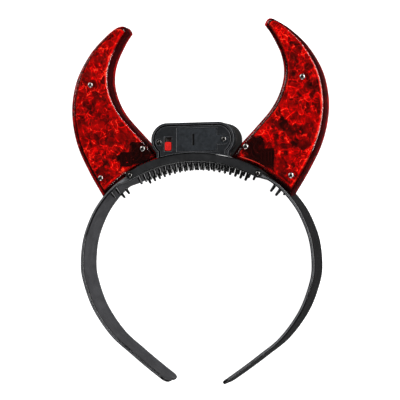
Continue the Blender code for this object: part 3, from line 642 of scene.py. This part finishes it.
def make_band():
    """The hoop as one swept skin with rounded edges and lobed tips."""
    levels = band_profile(BAND_EDGE_ROUND)
    rings = band_half(COMB_SHIFT, levels)
    left = [[(Vector((-point.x, point.y)), level) for point, level in row]
            for row in band_half(-COMB_SHIFT, levels)[:0:-1]]
    every = left + rings
    width = len(rings[0])
    sides = width // 2
    verts = [(point.x, point.y, level) for row in every for point, level in row]
    faces = ring_faces(0, len(every), width)
    outer, edge, inner, rim = range(4)
    # Slots by column: the inner faces take the paler plastic, painted light, and the flat middles of the near
    # and far edges take the pale edge plastic, a painted highlight line
    around = []
    for column in range(width):
        if column in (sides - 1, width - 1):
            around.append(rim)
        elif abs(column - sides + 1) < 5 or column < 4 or column > width - 6:
            around.append(edge)
        else:
            around.append(inner if column > sides else outer)
    slots = around * (len(every) - 1)
    for start in (0, (len(every) - 1) * width):
        for column in range(sides - 1):
            faces.append([start + column, start + column + 1,
                          start + width - 2 - column, start + width - 1 - column])
            slots.append(edge)
    band = mesh_object("band_skin", verts, faces, ["band_outer", "band_edge", "band_inner_painted_light", "rim"], slots)
    shade(band, 60)
    place(band, "frame", "black_plastic", "band")


def make_pegs():
    """Two rows of round comb pegs with rounded tips."""
    rows = ((BAND_DEPTH - 0.0025, 0.0048, 0.00100, 0.00078), (0.0025, 0.0039, 0.00090, 0.00070))
    pitch, count = math.radians(2.505), 21
    places = [((index - (count - 1) / 2) * pitch + COMB_SHIFT, CROWN_INNER) for index in range(count)]
    for angle in (math.radians(36.2), math.radians(39.0)):
        places += [(angle, ARM_RADIUS - BAND_WALL / 2), (COMB_SHIFT - angle, ARM_RADIUS - BAND_WALL / 2)]
    verts, faces = [], []
    sides = 18
    up = Vector((0, 0, 1))
    for level, length, root, tip in rows:
        profile = [(-0.0009, root * 1.25), (0.0, root * 1.25), (0.0002, root * 1.06), (0.0005, root)]
        profile += [(length - tip + tip * math.sin(math.radians(turn)),
                     tip * math.cos(math.radians(turn))) for turn in (0, 20, 40, 60, 78)]
        for angle, radius in places:
            base = on_crown(radius, angle)
            along = (CROWN_CENTRE - base).normalized().to_3d()
            across = along.cross(up)
            faces += capped_rings(len(verts), len(profile), sides)
            for distance, size in profile:
                for side in range(sides):
                    turn = 2 * math.pi * side / sides
                    verts.append(Vector((base.x, base.y, level)) + along * distance
                                 + (across * math.cos(turn) + up * math.sin(turn)) * size)
    pegs = mesh_object("comb_pegs", verts, faces, ["peg"])
    shade(pegs, 50)
    place(pegs, "frame", "black_plastic")


# Base strip and screws

def ring_stretch(inner, outer, angle, steps):
    """Outline of a stretch of a flat ring about the crown."""
    angles = [angle * (2 * step / steps - 1) for step in range(steps + 1)]
    return ([on_crown(outer, turn) for turn in angles]
            + [on_crown(inner, turn) for turn in reversed(angles)])


def make_screw(name, x, y, seat, kind, turn, material="steel"):
    """A pan head screw with a cross recess."""
    head, rise, length = SCREW_KINDS[kind]
    profile = [(head * out, rise * up) for out, up in SCREW_HEAD]
    profile += [(SCREW_SHANK, 0.0), (SCREW_SHANK, -length), (0.0, -length - SCREW_SHANK)]
    sides = 40
    verts = [(x, y, seat + profile[0][1])]
    for radius, up in profile[1:-1]:
        verts += [(x + radius * math.cos(2 * math.pi * side / sides),
                   y + radius * math.sin(2 * math.pi * side / sides), seat + up) for side in range(sides)]
    verts.append((x, y, seat + profile[-1][1]))
    rows = len(profile) - 2
    last, end = 1 + (rows - 1) * sides, len(verts) - 1
    faces = ring_faces(1, rows, sides)
    for side in range(sides):
        after = (side + 1) % sides
        faces += [[0, 1 + after, 1 + side], [end, last + side, last + after]]
    item = mesh_object(f"{name}_steel", verts, faces, [material])
    # The cross recess takes the very dark lamp plastic, painted shade
    for extra in (0, 90):
        cut(item, slab(f"{name}_slot", x, y, seat + rise * 0.30, seat + rise * 1.5,
                       head * 1.16, head * 0.24, "lamp", math.radians(turn + extra)))
    shade(item, 40)
    place(item, "frame", "steel", name)


def make_base():
    """Lip on the near edge, web over the crown, and a screw lug at each end."""
    base = flat_solid("base_strip_lip", ring_stretch(LIP_INNER, LIP_OUTER, BASE_SCREW_ANGLE, 96),
                      LIP_BACK, LIP_FRONT, "strip")
    web = flat_solid("web", ring_stretch(CROWN_OUTER + GAP, WEB_OUTER, WEB_END, 90),
                     WEB_INSET, LIP_FRONT - WEB_INSET, "strip")
    cut(base, web, operation="UNION")
    seat = LIP_FRONT - LUG_RECESS
    spots = {"left": on_crown(BASE_SCREW_RADIUS, -BASE_SCREW_ANGLE),
             "right": on_crown(BASE_SCREW_RADIUS, BASE_SCREW_ANGLE)}
    for spot in spots.values():
        cut(base, rod("lug", *spot, LIP_BACK, LIP_FRONT, LUG_RADIUS, "strip"), operation="UNION")
        # The screw recess takes the very dark lamp plastic, painted shade
        cut(base, rod("recess", *spot, seat, LIP_FRONT + GAP, COUNTERBORE, "lamp"))
        cut(base, rod("bore", *spot, LIP_BACK - GAP, LIP_FRONT + GAP, BORE, "strip"))
    soften(base, 0.00032, 3, 50)

    def takes_painted_highlight(spot, normal):
        """On the rounded edge of the lip that faces the head, where a highlight is painted."""
        inward = (spot.xy - CROWN_CENTRE).length < LIP_INNER + 0.0004
        return inward and spot.z > LIP_FRONT - 0.0005 and 0.2 < normal.z < 0.97

    paint_edge_highlight(base, takes_painted_highlight)
    place(base, "frame", "black_plastic", "base_strip")
    # The strip's screws take the darker steel, painted shade
    for side, spot in spots.items():
        make_screw(f"base_screw_{side}", *spot, seat + GAP, "base", 25, "steel_dim")


# Battery box

def box_shoulders(inset):
    """Line over the box from its left cheek to its right cheek."""
    radius = BOX_END_RADIUS - inset
    turn = math.acos((BOX_CHEEK - inset - BOX_END[0]) / radius)
    right = arc(BOX_END, radius, math.pi / 2, -turn, 40)
    return mirrored(right)[::-1] + right


def box_outline(inset=0.0):
    """Pill with straight cheeks that stand on the base strip."""
    seat = BASE_SEAT + inset
    end = math.asin((BOX_CHEEK - inset) / seat)
    foot = [on_crown(seat, end * (1 - 2 * step / 24)) for step in range(25)]
    return box_shoulders(inset) + foot


def open_box_line(inset):
    """The line over the box, run straight down past its foot."""
    cheek = BOX_CHEEK - inset
    return [Vector((-cheek, 0.0))] + box_shoulders(inset) + [Vector((cheek, 0.0))]


def door_outline(margin):
    """The door with its tab, larger by a margin all round."""
    x, y = DOOR_MIDDLE
    left, right = x - DOOR_LENGTH / 2 - margin, x + DOOR_LENGTH / 2 + margin
    low, high = y - DOOR_HEIGHT / 2 - margin, y + DOOR_HEIGHT / 2 + margin
    half = TAB_HALF_HEIGHT + margin
    tab = arc(DOOR_SCREW, half, -math.pi / 2, math.pi / 2, 24)
    return ([Vector((left, high)), Vector((left, low)), Vector((right, low)),
             Vector((right, DOOR_SCREW[1] - half))] + tab
            + [Vector((right, DOOR_SCREW[1] + half)), Vector((right, high))])


def make_case():
    """Rear half of the box with the post for the cover's screw."""
    case = flat_solid("case_shell", box_outline(), BOX_BACK, CASE_FRONT, "case")
    cut(case, flat_solid("hollow", box_outline(BOX_WALL), BOX_BACK + BOX_WALL, CASE_FRONT + BOX_WALL, "case"))
    top = COVER_INSIDE - GAP
    cut(case, rod("post", *COVER_SCREW, BOX_BACK + BOX_WALL / 2, top, POST_RADIUS, "case"),
        operation="UNION")
    cut(case, rod("bore", *COVER_SCREW, top - 0.0067, top + GAP, BORE, "case"))
    soften(case, 0.0005, 3, 60)
    place(case, "frame", "black_plastic", "box_case")


def make_cover():
    """Front half of the box with rim, groove, door seat, battery bay, window and screw holes."""
    cover = flat_solid("cover_shell", box_outline(), COVER_BACK, BOX_FRONT, "cover")
    cut(cover, flat_solid("hollow", box_outline(BOX_WALL), COVER_BACK - BOX_WALL, COVER_INSIDE, "cover"))
    rim = open_box_line(RIM_WIDTH)
    cut(cover, flat_solid("face", rim, FACE, BOX_FRONT + BOX_WALL, "cover"))
    groove = rim + open_box_line(RIM_WIDTH + RIM_GROOVE)[::-1]
    # The groove's faces take the very dark lamp plastic, painted shade
    cut(cover, flat_solid("groove", groove, FACE - RIM_GROOVE, FACE + 0.00025, "lamp"))
    cut(cover, rod("boss", *DOOR_SCREW, COVER_BACK, COVER_INSIDE + GAP, POST_RADIUS, "cover"),
        operation="UNION")
    cut(cover, flat_solid("recess", door_outline(GAP), DOOR_SEAT, BOX_FRONT + BOX_WALL, "cover"))
    cut(cover, slab("bay", *DOOR_MIDDLE, DOOR_SEAT - COVER_PLATE, DOOR_SEAT + COVER_PLATE,
                    DOOR_LENGTH - 2 * DOOR_LEDGE, DOOR_HEIGHT - 2 * DOOR_LEDGE, "cover"))
    cut(cover, rod("bore", *DOOR_SCREW, COVER_BACK - GAP, FACE, BORE, "cover"))
    # The window's walls and the screw's sink and hole take the very dark lamp plastic, painted shade
    cut(cover, slab("window", *WINDOW_MIDDLE, FACE - 0.0036, FACE + 0.0036, *WINDOW_SIZE, "lamp"))
    cut(cover, rod("sink", *COVER_SCREW, FACE - COVER_SCREW_SINK - GAP, BOX_FRONT, COUNTERBORE, "lamp"))
    cut(cover, rod("hole", *COVER_SCREW, FACE - 0.0030, BOX_FRONT, BORE, "lamp"))
    soften(cover, COVER_EDGE_ROUND, 3, 40)

    def takes_painted_highlight(spot, normal):
        """On the rounded edges of the rim and of the groove, away from the box's foot, where highlights are
        painted.
        """
        on_rim = spot.z > BOX_FRONT - COVER_EDGE_ROUND
        at_groove = FACE - 0.00026 < spot.z < FACE + 0.00010
        return spot.y > 0.0005 and (on_rim or at_groove) and 0.3 < normal.z < 0.985

    paint_edge_highlight(cover, takes_painted_highlight)
    place(cover, "frame", "cover_plastic", "box_cover")


def make_door():
    """Battery door with its marking slot and screw hole."""
    door = flat_solid("door_plate", door_outline(0.0), FACE - DOOR_THICKNESS, FACE, "door")
    # The marking slot takes the very dark lamp plastic, painted shade
    cut(door, slab("slot", *DOOR_SLOT_MIDDLE, FACE - DOOR_SLOT_DEPTH, FACE + DOOR_SLOT_DEPTH,
                   *DOOR_SLOT_SIZE, "lamp"))
    cut(door, rod("hole", *DOOR_SCREW, COVER_INSIDE, FACE + GAP, BORE, "door"))
    soften(door, 0.00022, 2, 40)
    place(door, "frame", "cover_plastic", "battery_door")


def make_switch():
    """Red knob with ribs, and the grey of the switch body under it."""
    top = FACE + GAP
    x, y = KNOB_MIDDLE
    outline = []
    for sx, sy, start in ((1, 1, 0), (-1, 1, 90), (-1, -1, 180), (1, -1, 270)):
        centre = (x + sx * (KNOB_HALF[0] - KNOB_CORNER), y + sy * (KNOB_HALF[1] - KNOB_CORNER))
        outline += arc(centre, KNOB_CORNER, math.radians(start), math.radians(start + 90), 6)
    knob = flat_solid("knob_cap", outline, COVER_INSIDE, top, "knob")
    for rib in KNOB_RIBS:
        cut(knob, slab("rib", x, rib, top - KNOB_RIB_DEPTH, top + 0.001, *KNOB_RIB_SIZE, "knob"))
    soften(knob, 0.0003, 3, 60)
    place(knob, "switch", "knob_red", "switch_knob")
    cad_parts["switch_body"].data.materials.clear()
    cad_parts["switch_body"].data.materials.append(MATERIALS["contact"])


def make_box():
    """Case, cover, door, screws and switch."""
    make_case()
    make_cover()
    make_door()
    # The box's screws take the darker steel, painted shade
    make_screw("door_screw", *DOOR_SCREW, FACE + GAP, "box", 30, "steel_dim")
    make_screw("cover_screw", *COVER_SCREW, FACE - COVER_SCREW_SINK, "box", 10, "steel_dim")
    make_switch()


# Horns

def horn_place(across, up):
    """A point of the right horn from its shares across and up."""
    return Vector((HORN_ROOT_X + across * (HORN_REACH - HORN_ROOT_X), up * HORN_TOP))


def radius_on(line, angle):
    """How far from the crown's centre a line is at an angle."""
    for start, end in zip(line, line[1:]):
        low, high = (start - CROWN_CENTRE), (end - CROWN_CENTRE)
        low_angle, high_angle = math.atan2(low.x, low.y), math.atan2(high.x, high.y)
        if low_angle <= angle <= high_angle:
            share = (angle - low_angle) / (high_angle - low_angle)
            return low.length + share * (high.length - low.length)
    return (line[0] - CROWN_CENTRE).length


def seat_line():
    """What the right horn stands on, from beside the box to the heel."""
    root_angle = math.asin((BOX_CHEEK + GAP) / BASE_SEAT)
    on_band = CROWN_OUTER + GAP
    route = offset_line(band_route(8), BAND_WALL / 2 + GAP)
    points = []
    for step in range(61):
        angle = root_angle + (HEEL_ANGLE - root_angle) * step / 60
        t = min(max((angle - WEB_END) / (PAD_END - WEB_END), 0.0), 1.0)
        radius = BASE_SEAT + (on_band - BASE_SEAT) * t * t * (3 - 2 * t)
        if angle > CROWN_END:
            radius = radius_on(route, angle)
        points.append(on_crown(radius, angle))
    return points


class Sheet:
    """The horn's outline as a surface of two shares, kept as evenly spaced tables."""

    def __init__(self):
        root = seat_line()
        inner = smooth_line([root[0]] + [horn_place(*row) for row in HORN_INNER_EDGE], 12)
        outer = smooth_line([root[-1]] + [horn_place(*row) for row in HORN_OUTER_EDGE], 12)
        self.length = (line_length(inner) + line_length(outer)) / 2
        self.inner = self.even(inner, 400)
        self.outer = self.even(outer, 400)
        self.root = self.even(root, 200)
        along = outer[-1] - inner[-1]
        out = Vector((-along.y, along.x)) * TIP_BULGE
        bulge = [inner[-1] + along * t + out * 4 * t * (1 - t) for t in (step / 24 for step in range(25))]
        self.tip = self.even(bulge, 50)

    @staticmethod
    def even(line, count):
        """The line as evenly spaced points."""
        total = line_length(line)
        return [at_length(line, total * step / count) for step in range(count + 1)]

    @staticmethod
    def look(table, share):
        """The point at a share of an even table."""
        place = min(max(share, 0.0), 1.0) * (len(table) - 1)
        index = min(int(place), len(table) - 2)
        return table[index].lerp(table[index + 1], place - index)

    def point(self, up, across):
        """The point inside the outline at two shares."""
        sides = self.look(self.inner, up).lerp(self.look(self.outer, up), across)
        ends = self.look(self.root, across).lerp(self.look(self.tip, across), up)
        low = self.inner[0].lerp(self.outer[0], across)
        high = self.inner[-1].lerp(self.outer[-1], across)
        return sides + ends - low.lerp(high, up)


SHEET = Sheet()


def shares(distances, length, spare, count):
    """Shares of rings counted in from both ends, with the stretch between split evenly."""
    low = [min(distance / length, spare * (index + 1) / len(distances))
           for index, distance in enumerate(distances)]
    high = [1 - share for share in reversed(low)]
    return low + [low[-1] + (high[0] - low[-1]) * step / count for step in range(1, count)] + high


def horn_grid(distances, row_count, column_count):
    """Rows of (point, ring) over the right horn."""
    ups = shares(distances, SHEET.length, 0.2, row_count)
    rows = len(ups)
    columns = 2 * (len(distances) - 1) + column_count + 1
    grid = []
    for row, up in enumerate(ups):
        width = (SHEET.point(up, 1.0) - SHEET.point(up, 0.0)).length
        acrosses = shares(distances, width, 0.42, column_count)
        line = []
        for column, across in enumerate(acrosses):
            ring = min(row, rows - 1 - row, column, columns - 1 - column)
            line.append((SHEET.point(up, across), ring))
        grid.append(line)
    return grid


def border(rows, columns):
    """Grid indices round the edge, in order."""
    path = [(0, column) for column in range(columns)]
    path += [(row, columns - 1) for row in range(1, rows)]
    path += [(rows - 1, column) for column in range(columns - 2, -1, -1)]
    path += [(row, 0) for row in range(rows - 2, 0, -1)]
    return path


def shell_mesh(sign, face):
    """Points and faces of a horn shell: two skins joined along the parting rim."""
    turns = [math.radians(turn) for turn in (0, 15, 30, 45, 60, 75, 90)]
    foot = PARTING + face * GAP / 2
    verts, faces, slots = [], [], []
    rims = []
    for inset in (0.0, HORN_WALL):
        radius = HORN_ROUND - inset
        top = HORN_HALF - inset
        distances = [inset + radius * (1 - math.cos(turn)) for turn in turns]
        heights = [HORN_SIDE + (top - HORN_SIDE) * math.sin(turn) for turn in turns]
        grid = horn_grid(distances, 64, 12)
        rows, columns = len(grid), len(grid[0])
        start = len(verts)
        for line in grid:
            for point, ring in line:
                level = PARTING + face * heights[min(ring, len(heights) - 1)]
                verts.append((point.x * sign, point.y, level))
        faces += grid_faces(start, rows, columns)
        # Slot 1, the darker copy of the clear red, is painted shade on the outer two rings, the side walls
        # and the rim faces
        slots += [1 if min(row, rows - 2 - row, column, columns - 2 - column) < 2 else 0
                  for row in range(rows - 1) for column in range(columns - 1)]
        path = border(rows, columns)
        rim = []
        for row, column in path:
            vert = verts[start + row * columns + column]
            rim.append(len(verts))
            verts.append((vert[0], vert[1], foot))
        for index, (row, column) in enumerate(path):
            after = (index + 1) % len(path)
            far = path[after]
            faces.append([start + row * columns + column, start + far[0] * columns + far[1],
                          rim[after], rim[index]])
            slots.append(1)
        rims.append(rim)
    for index in range(len(rims[0])):
        after = (index + 1) % len(rims[0])
        faces.append([rims[0][index], rims[0][after], rims[1][after], rims[1][index]])
        slots.append(1)
    return verts, faces, slots


def facets(spot, scale):
    """Nearest crumple cell: its middle, the reach from it, and how near the next cell is."""
    distances, points = noise.voronoi(spot * scale)
    return points[0], spot * scale - points[0], distances[1] - distances[0]


def luck(cell, number):
    """A steady random value of a crumple cell, from 0 to 1."""
    return noise.cell(cell * 37.7 + Vector((number * 7.3, number * 3.1, number * 1.9)))


def crinkle(x, y, seed):
    """Height and tone of the crumpled film at a place in millimetres.

    Each crumple cell is a facet with a slope and a tone of its own, finer cells lie on it;
    the tone also rises with the slope as painted light, and a few finer cells are painted shadow or a painted
    glint.
    """
    full_turn = 6.28
    spot = Vector((x, y, seed))
    warp = noise.noise_vector(spot * 0.16) * 1.1
    moved = spot + Vector((warp.x, warp.y, 0.0))
    cell, away, border_near = facets(moved, 0.17)
    turn = full_turn * luck(cell, 4)
    slope = away.x * math.cos(turn) + away.y * math.sin(turn)
    fold = math.exp(-(border_near / 0.085) ** 2)
    fine_cell, fine_away, _ = facets(moved + Vector((3.1, 7.7, 2.0)), 0.34)
    fine_turn = full_turn * luck(fine_cell, 6)
    fine_slope = fine_away.x * math.cos(fine_turn) + fine_away.y * math.sin(fine_turn)
    cloud = noise.noise(spot * 0.075 + Vector((3.1, 8.2, 1.0)))
    shadow = 1.0 if luck(fine_cell, 8) > 0.91 else 0.0
    spark = 1.0 if luck(fine_cell, 9) > 0.91 else 0.0
    spark *= math.exp(-(fine_away.length / 0.14) ** 2)
    height = 0.85 * slope + 0.30 * fine_slope + 0.25 * fold
    # Tone: random by cell and cloudy, with painted light from the slopes, painted shadow on some fine cells
    # and a painted glint on others
    tone = (0.315 + 0.07 * (luck(cell, 10) - 0.5) + 0.09 * slope + 0.08 * (luck(fine_cell, 11) - 0.5)
            + 0.11 * fine_slope + 0.12 * cloud - 0.15 * shadow + 0.50 * spark)
    return height, tone


# Shapes where the film is painted very dark, a painted shadow under and round the lamp holders and their
# leads, in millimetres
PAINTED_SHADOW_SHAPES = {
    "right": (((39.4, 4.8), (46.6, 4.6), (46.6, -3.8), (39.4, -1.4)),
              ((35.0, 10.8), (37.6, 11.6), (38.0, 4.4), (40.4, 4.0), (38.6, -0.8), (32.4, 0.4),
               (32.2, 3.6), (35.0, 4.6)),
              ((37.2, 12.2), (40.0, 12.4), (41.3, 10.4), (39.8, 8.8), (38.3, 10.6))),
    "left": (((-40.2, 10.0), (-36.9, 9.6), (-35.6, 5.4), (-32.6, 5.2), (-30.8, -1.6),
              (-41.4, -2.2), (-41.4, 4.0)),
             ((-49.8, 2.4), (-46.0, 4.2), (-42.6, 4.0), (-43.6, 0.6), (-42.2, -3.4), (-46.2, -2.8),
              (-47.0, 0.2), (-49.4, -0.6))),
}
# The painted shade round them, where the film is made darker, in millimetres
PAINTED_SHADE_SHAPE = {
    "right": ((27.0, 8.0), (33.6, 13.4), (41.6, 8.8), (42.0, 4.8), (47.4, 4.8), (47.2, -8.0),
              (30.0, -1.0)),
    "left": ((-26.0, 4.0), (-26.0, 8.6), (-30.0, 10.4), (-37.2, 10.2), (-42.0, 4.0), (-41.0, -3.6),
             (-30.0, -1.0)),
}


def inside(x, y, shape):
    """How far inside a closed shape a place is, negative outside."""
    within, nearest = False, 1e9
    spot = Vector((x, y))
    for index, low in enumerate(shape):
        start, end = Vector(low), Vector(shape[(index + 1) % len(shape)])
        if (start.y > y) != (end.y > y):
            if x < start.x + (y - start.y) / (end.y - start.y) * (end.x - start.x):
                within = not within
        along = end - start
        share = min(max((spot - start).dot(along) / along.length_squared, 0.0), 1.0)
        nearest = min(nearest, (spot - start - along * share).length)
    return nearest if within else -nearest


def shade_of(x, y, side):
    """How much painted shadow and painted shade the film takes at a place in millimetres, each from 0 to 1.
    """
    if not 24 < abs(x) < 52 or not -9 < y < 15:
        return 0.0, 0.0
    painted_shadow = max(inside(x, y, shape) for shape in PAINTED_SHADOW_SHAPES[side])
    dim = inside(x, y, PAINTED_SHADE_SHAPE[side])
    return min(max(painted_shadow / 0.5 + 0.5, 0.0), 1.0), min(max(dim + 0.5, 0.0), 1.0)


def make_foil(side, sign):
    """A crinkled pouch inside the horn, with room for the screw posts."""
    spots = [horn_place(*at) for at in HORN_SCREWS.values()]
    distances = [FILM_INSET + further for further in (0.0, 0.0003, 0.0008, 0.0015)]
    drops = (0.0026, 0.0008, 0.0002, 0.0)
    # The outer rings take fixed lighter tones, painted light against the shade that falls on the film's
    # turned-down edge
    rim_painted_light_tones = (0.60, 0.58, 0.50)
    grid = horn_grid(distances, 280, 76)
    rows, columns = len(grid), len(grid[0])
    verts, tones = [], []
    for face in (1, -1):
        for line in grid:
            for point, ring in line:
                x, y = point.x * 1000, point.y * 1000
                height, tone = crinkle(x * sign, y, 5.0 * face + 20 * sign)
                level = HORN_HALF - HORN_WALL - FILM_CLEARANCE - drops[min(ring, 3)]
                if ring > 0:
                    level += min(max(height, -0.6), 0.9) * FILM_RELIEF
                to_post = min((point - spot).length for spot in spots)
                if to_post < 0.0036:
                    level -= FILM_SINK * min(1 - max(to_post - 0.0024, 0.0) / 0.0012, 1.0)
                    tone = tone * 0.3 + 0.22
                tone = (*rim_painted_light_tones, tone)[min(ring, 3)]
                if face == 1:
                    # The front face is darkened in the shapes near the lamps: painted shadow and painted
                    # shade
                    painted_shadow, dim = shade_of(x * sign, y, side)
                    tone *= (1 - painted_shadow) * (1 - 0.80 * dim)
                    level -= max(painted_shadow, dim) * FILM_SINK
                verts.append((point.x * sign, point.y, PARTING + face * max(level, 0.0004)))
                tones.append(min(max(tone, 0.0), 1.0))
    size = rows * columns
    faces = grid_faces(0, rows, columns) + grid_faces(size, rows, columns)
    path = [row * columns + column for row, column in border(rows, columns)]
    for index, first in enumerate(path):
        after = path[(index + 1) % len(path)]
        faces.append([first, after, size + after, size + first])
    foil = mesh_object(f"film_{side}", verts, faces, ["foil"])
    store = foil.data.attributes.new("film_tone_and_painted_light", "FLOAT", "POINT")
    store.data.foreach_set("value", tones)
    foil.data.shade_smooth()
    place(foil, "frame", "red_foil", f"foil_{side}")


def tube(name, points, radius, material, sides=10):
    """A round wire along points."""
    line = smooth_line(points, 8)
    verts = []
    for index, point in enumerate(line):
        along = (line[min(index + 1, len(line) - 1)] - line[max(index - 1, 0)]).normalized()
        across = along.cross(Vector((0, 0, 1))).normalized()
        up = across.cross(along)
        for side in range(sides):
            turn = 2 * math.pi * side / sides
            verts.append(point + (across * math.cos(turn) + up * math.sin(turn)) * radius)
    item = mesh_object(name, verts, capped_rings(0, len(line), sides), [material])
    shade(item)
    return item


def make_lamp(side, sign):
    """Ribbed lamp holder with two leads, in the inner foot of the horn."""
    middle = Vector(LAMP)
    holder = slab(f"lamp_block_{side}", middle.x * sign, middle.y,
                  PARTING - LAMP_HALF_DEPTH, PARTING + LAMP_HALF_DEPTH, *LAMP_SIZE, "lamp")
    for offset in (-0.0020, 0.0, 0.0020):
        cut(holder, slab("rib", (middle.x + offset) * sign, middle.y, PARTING + 0.0042, PARTING + 0.006,
                         0.0006, 0.0056, "lamp"))
    soften(holder, 0.0005, 3, 50)
    place(holder, "frame", "lamp_black", f"lamp_holder_{side}")
    top = PARTING + 0.0040
    # Places from the holder's middle
    lead_points = (
        ((-0.0034, 0.0012), (-0.0062, 0.0020), (-0.0076, 0.0060), (-0.0052, 0.0100), (-0.0018, 0.0086)),
        ((-0.0034, -0.0014), (-0.0066, -0.0010), (-0.0092, 0.0020), (-0.0086, 0.0066)),
    )
    for number, points in enumerate(lead_points):
        route = [Vector(((middle.x + x) * sign, middle.y + y, top - 0.0006 * number)) for x, y in points]
        place(tube(f"lead_{side}_{number}", route, LEAD_RADIUS, "lamp"), "frame", "lamp_black")


def horn_screw_places(sign):
    """Each horn screw's name and place, on the right or the left."""
    return {label: (horn_place(*at).x * sign, horn_place(*at).y) for label, at in HORN_SCREWS.items()}


def make_horn(side):
    """Both shells of one horn with film, lamp holder and screws."""
    sign = 1 if side == "right" else -1
    spots = horn_screw_places(sign)
    for face, label in ((1, "front"), (-1, "back")):
        verts, faces, slots = shell_mesh(sign, face)
        shell = mesh_object(f"shell_{label}_{side}", verts, faces, ["shell", "shell_side_painted_shade"], slots)
        for spot in spots.values():
            if face == 1:
                cut(shell, rod("recess", *spot, HORN_FACE - HORN_RECESS, HORN_FACE + 0.001,
                               HORN_RECESS_RADIUS, "shell"))
                cut(shell, rod("hole", *spot, HORN_FACE - 0.003, HORN_FACE, BORE, "shell"))
            else:
                floor = PARTING - HORN_HALF
                top = HORN_FACE - HORN_WALL - 0.0009
                cut(shell, rod("post", *spot, floor + 0.0006, top, POST_RADIUS, "shell"),
                    operation="UNION")
                cut(shell, rod("bore", *spot, floor + HORN_WALL, HORN_FACE, BORE, "shell"))
        shade(shell, 30)
        place(shell, "frame", "red_plastic", f"horn_{label}_{side}")
    make_foil(side, sign)
    make_lamp(side, sign)
    for label, spot in spots.items():
        make_screw(f"horn_screw_{label}_{side}", *spot, HORN_FACE - HORN_RECESS + GAP, "horn",
                   HORN_SCREW_TURNS[label])


# Stage

def make_floor():
    """A plain pale floor with a light of its own, hidden from the object's gloss."""
    white = (1.0, 1.0, 1.0, 1.0)
    made, _, _ = principled("floor", {
        "Base Color": (0.55, 0.55, 0.55, 1.0), "Roughness": 0.9, "Specular IOR Level": 0.0,
        "Emission Color": white, "Emission Strength": 0.95})
    shape = bpy.data.meshes.new("floor")
    size = 3.0
    shape.from_pydata([(-size, -size, 0), (size, -size, 0), (size, size, 0), (-size, size, 0)],
                      [], [(0, 1, 2, 3)])
    shape.materials.append(made)
    floor = bpy.data.objects.new("floor", shape)
    bpy.context.scene.collection.objects.link(floor)
    floor.visible_glossy = False


def area_light(name, place_at, aim, width, height, energy):
    """A soft rectangular lamp that faces a point."""
    lamp = bpy.data.lights.new(name, "AREA")
    lamp.shape = "RECTANGLE"
    lamp.size = width
    lamp.size_y = height
    lamp.energy = energy
    item = bpy.data.objects.new(name, lamp)
    item.location = place_at
    item.rotation_euler = (Vector(aim) - Vector(place_at)).to_track_quat("-Z", "Y").to_euler()
    bpy.context.scene.collection.objects.link(item)


def make_light():
    """Soft studio light and a dim grey room."""
    world = bpy.data.worlds.new("room")
    world.use_nodes = True
    world.node_tree.nodes["Background"].inputs["Color"].default_value = (1.0, 1.0, 1.0, 1.0)
    world.node_tree.nodes["Background"].inputs["Strength"].default_value = 0.07
    bpy.context.scene.world = world
    area_light("key", (-0.85, 0.60, 0.60), (0, -0.02, 0), 0.90, 0.90, 8.0)
    area_light("right_strip", (0.78, 0.30, 0.60), (0, 0.02, 0), 1.70, 0.34, 25.0)
    area_light("low_fill", (-0.1, -0.95, 0.45), (0, -0.02, 0), 0.90, 0.20, 6.0)


def make_camera():
    """The photograph's view: from the right by 18 degrees, a little from below."""
    yaw, pitch, roll = math.radians(18.35), math.radians(1.15), math.radians(-0.05)
    aim, distance = Vector((0.00383, -0.0241, 0.0209)), 0.7200
    back = Vector((math.sin(yaw) * math.cos(pitch), -math.sin(pitch), math.cos(yaw) * math.cos(pitch)))
    right = Vector((0, 1, 0)).cross(back).normalized()
    up = back.cross(right)
    turn = Matrix((right, up, back)).transposed().to_4x4() @ Matrix.Rotation(roll, 4, "Z")
    lens = bpy.data.cameras.new("camera")
    lens.sensor_width = 36.0
    lens.lens = 111.7
    lens.clip_start = 0.01
    lens.clip_end = 20.0
    item = bpy.data.objects.new("camera", lens)
    item.matrix_world = Matrix.Translation(aim + back * distance) @ turn
    bpy.context.scene.collection.objects.link(item)
    bpy.context.scene.camera = item
    bpy.context.scene.view_settings.view_transform = "Standard"


make_camera()
make_light()
make_floor()
make_band()
make_pegs()
make_base()
make_box()
for horn_side in ("left", "right"):
    make_horn(horn_side)
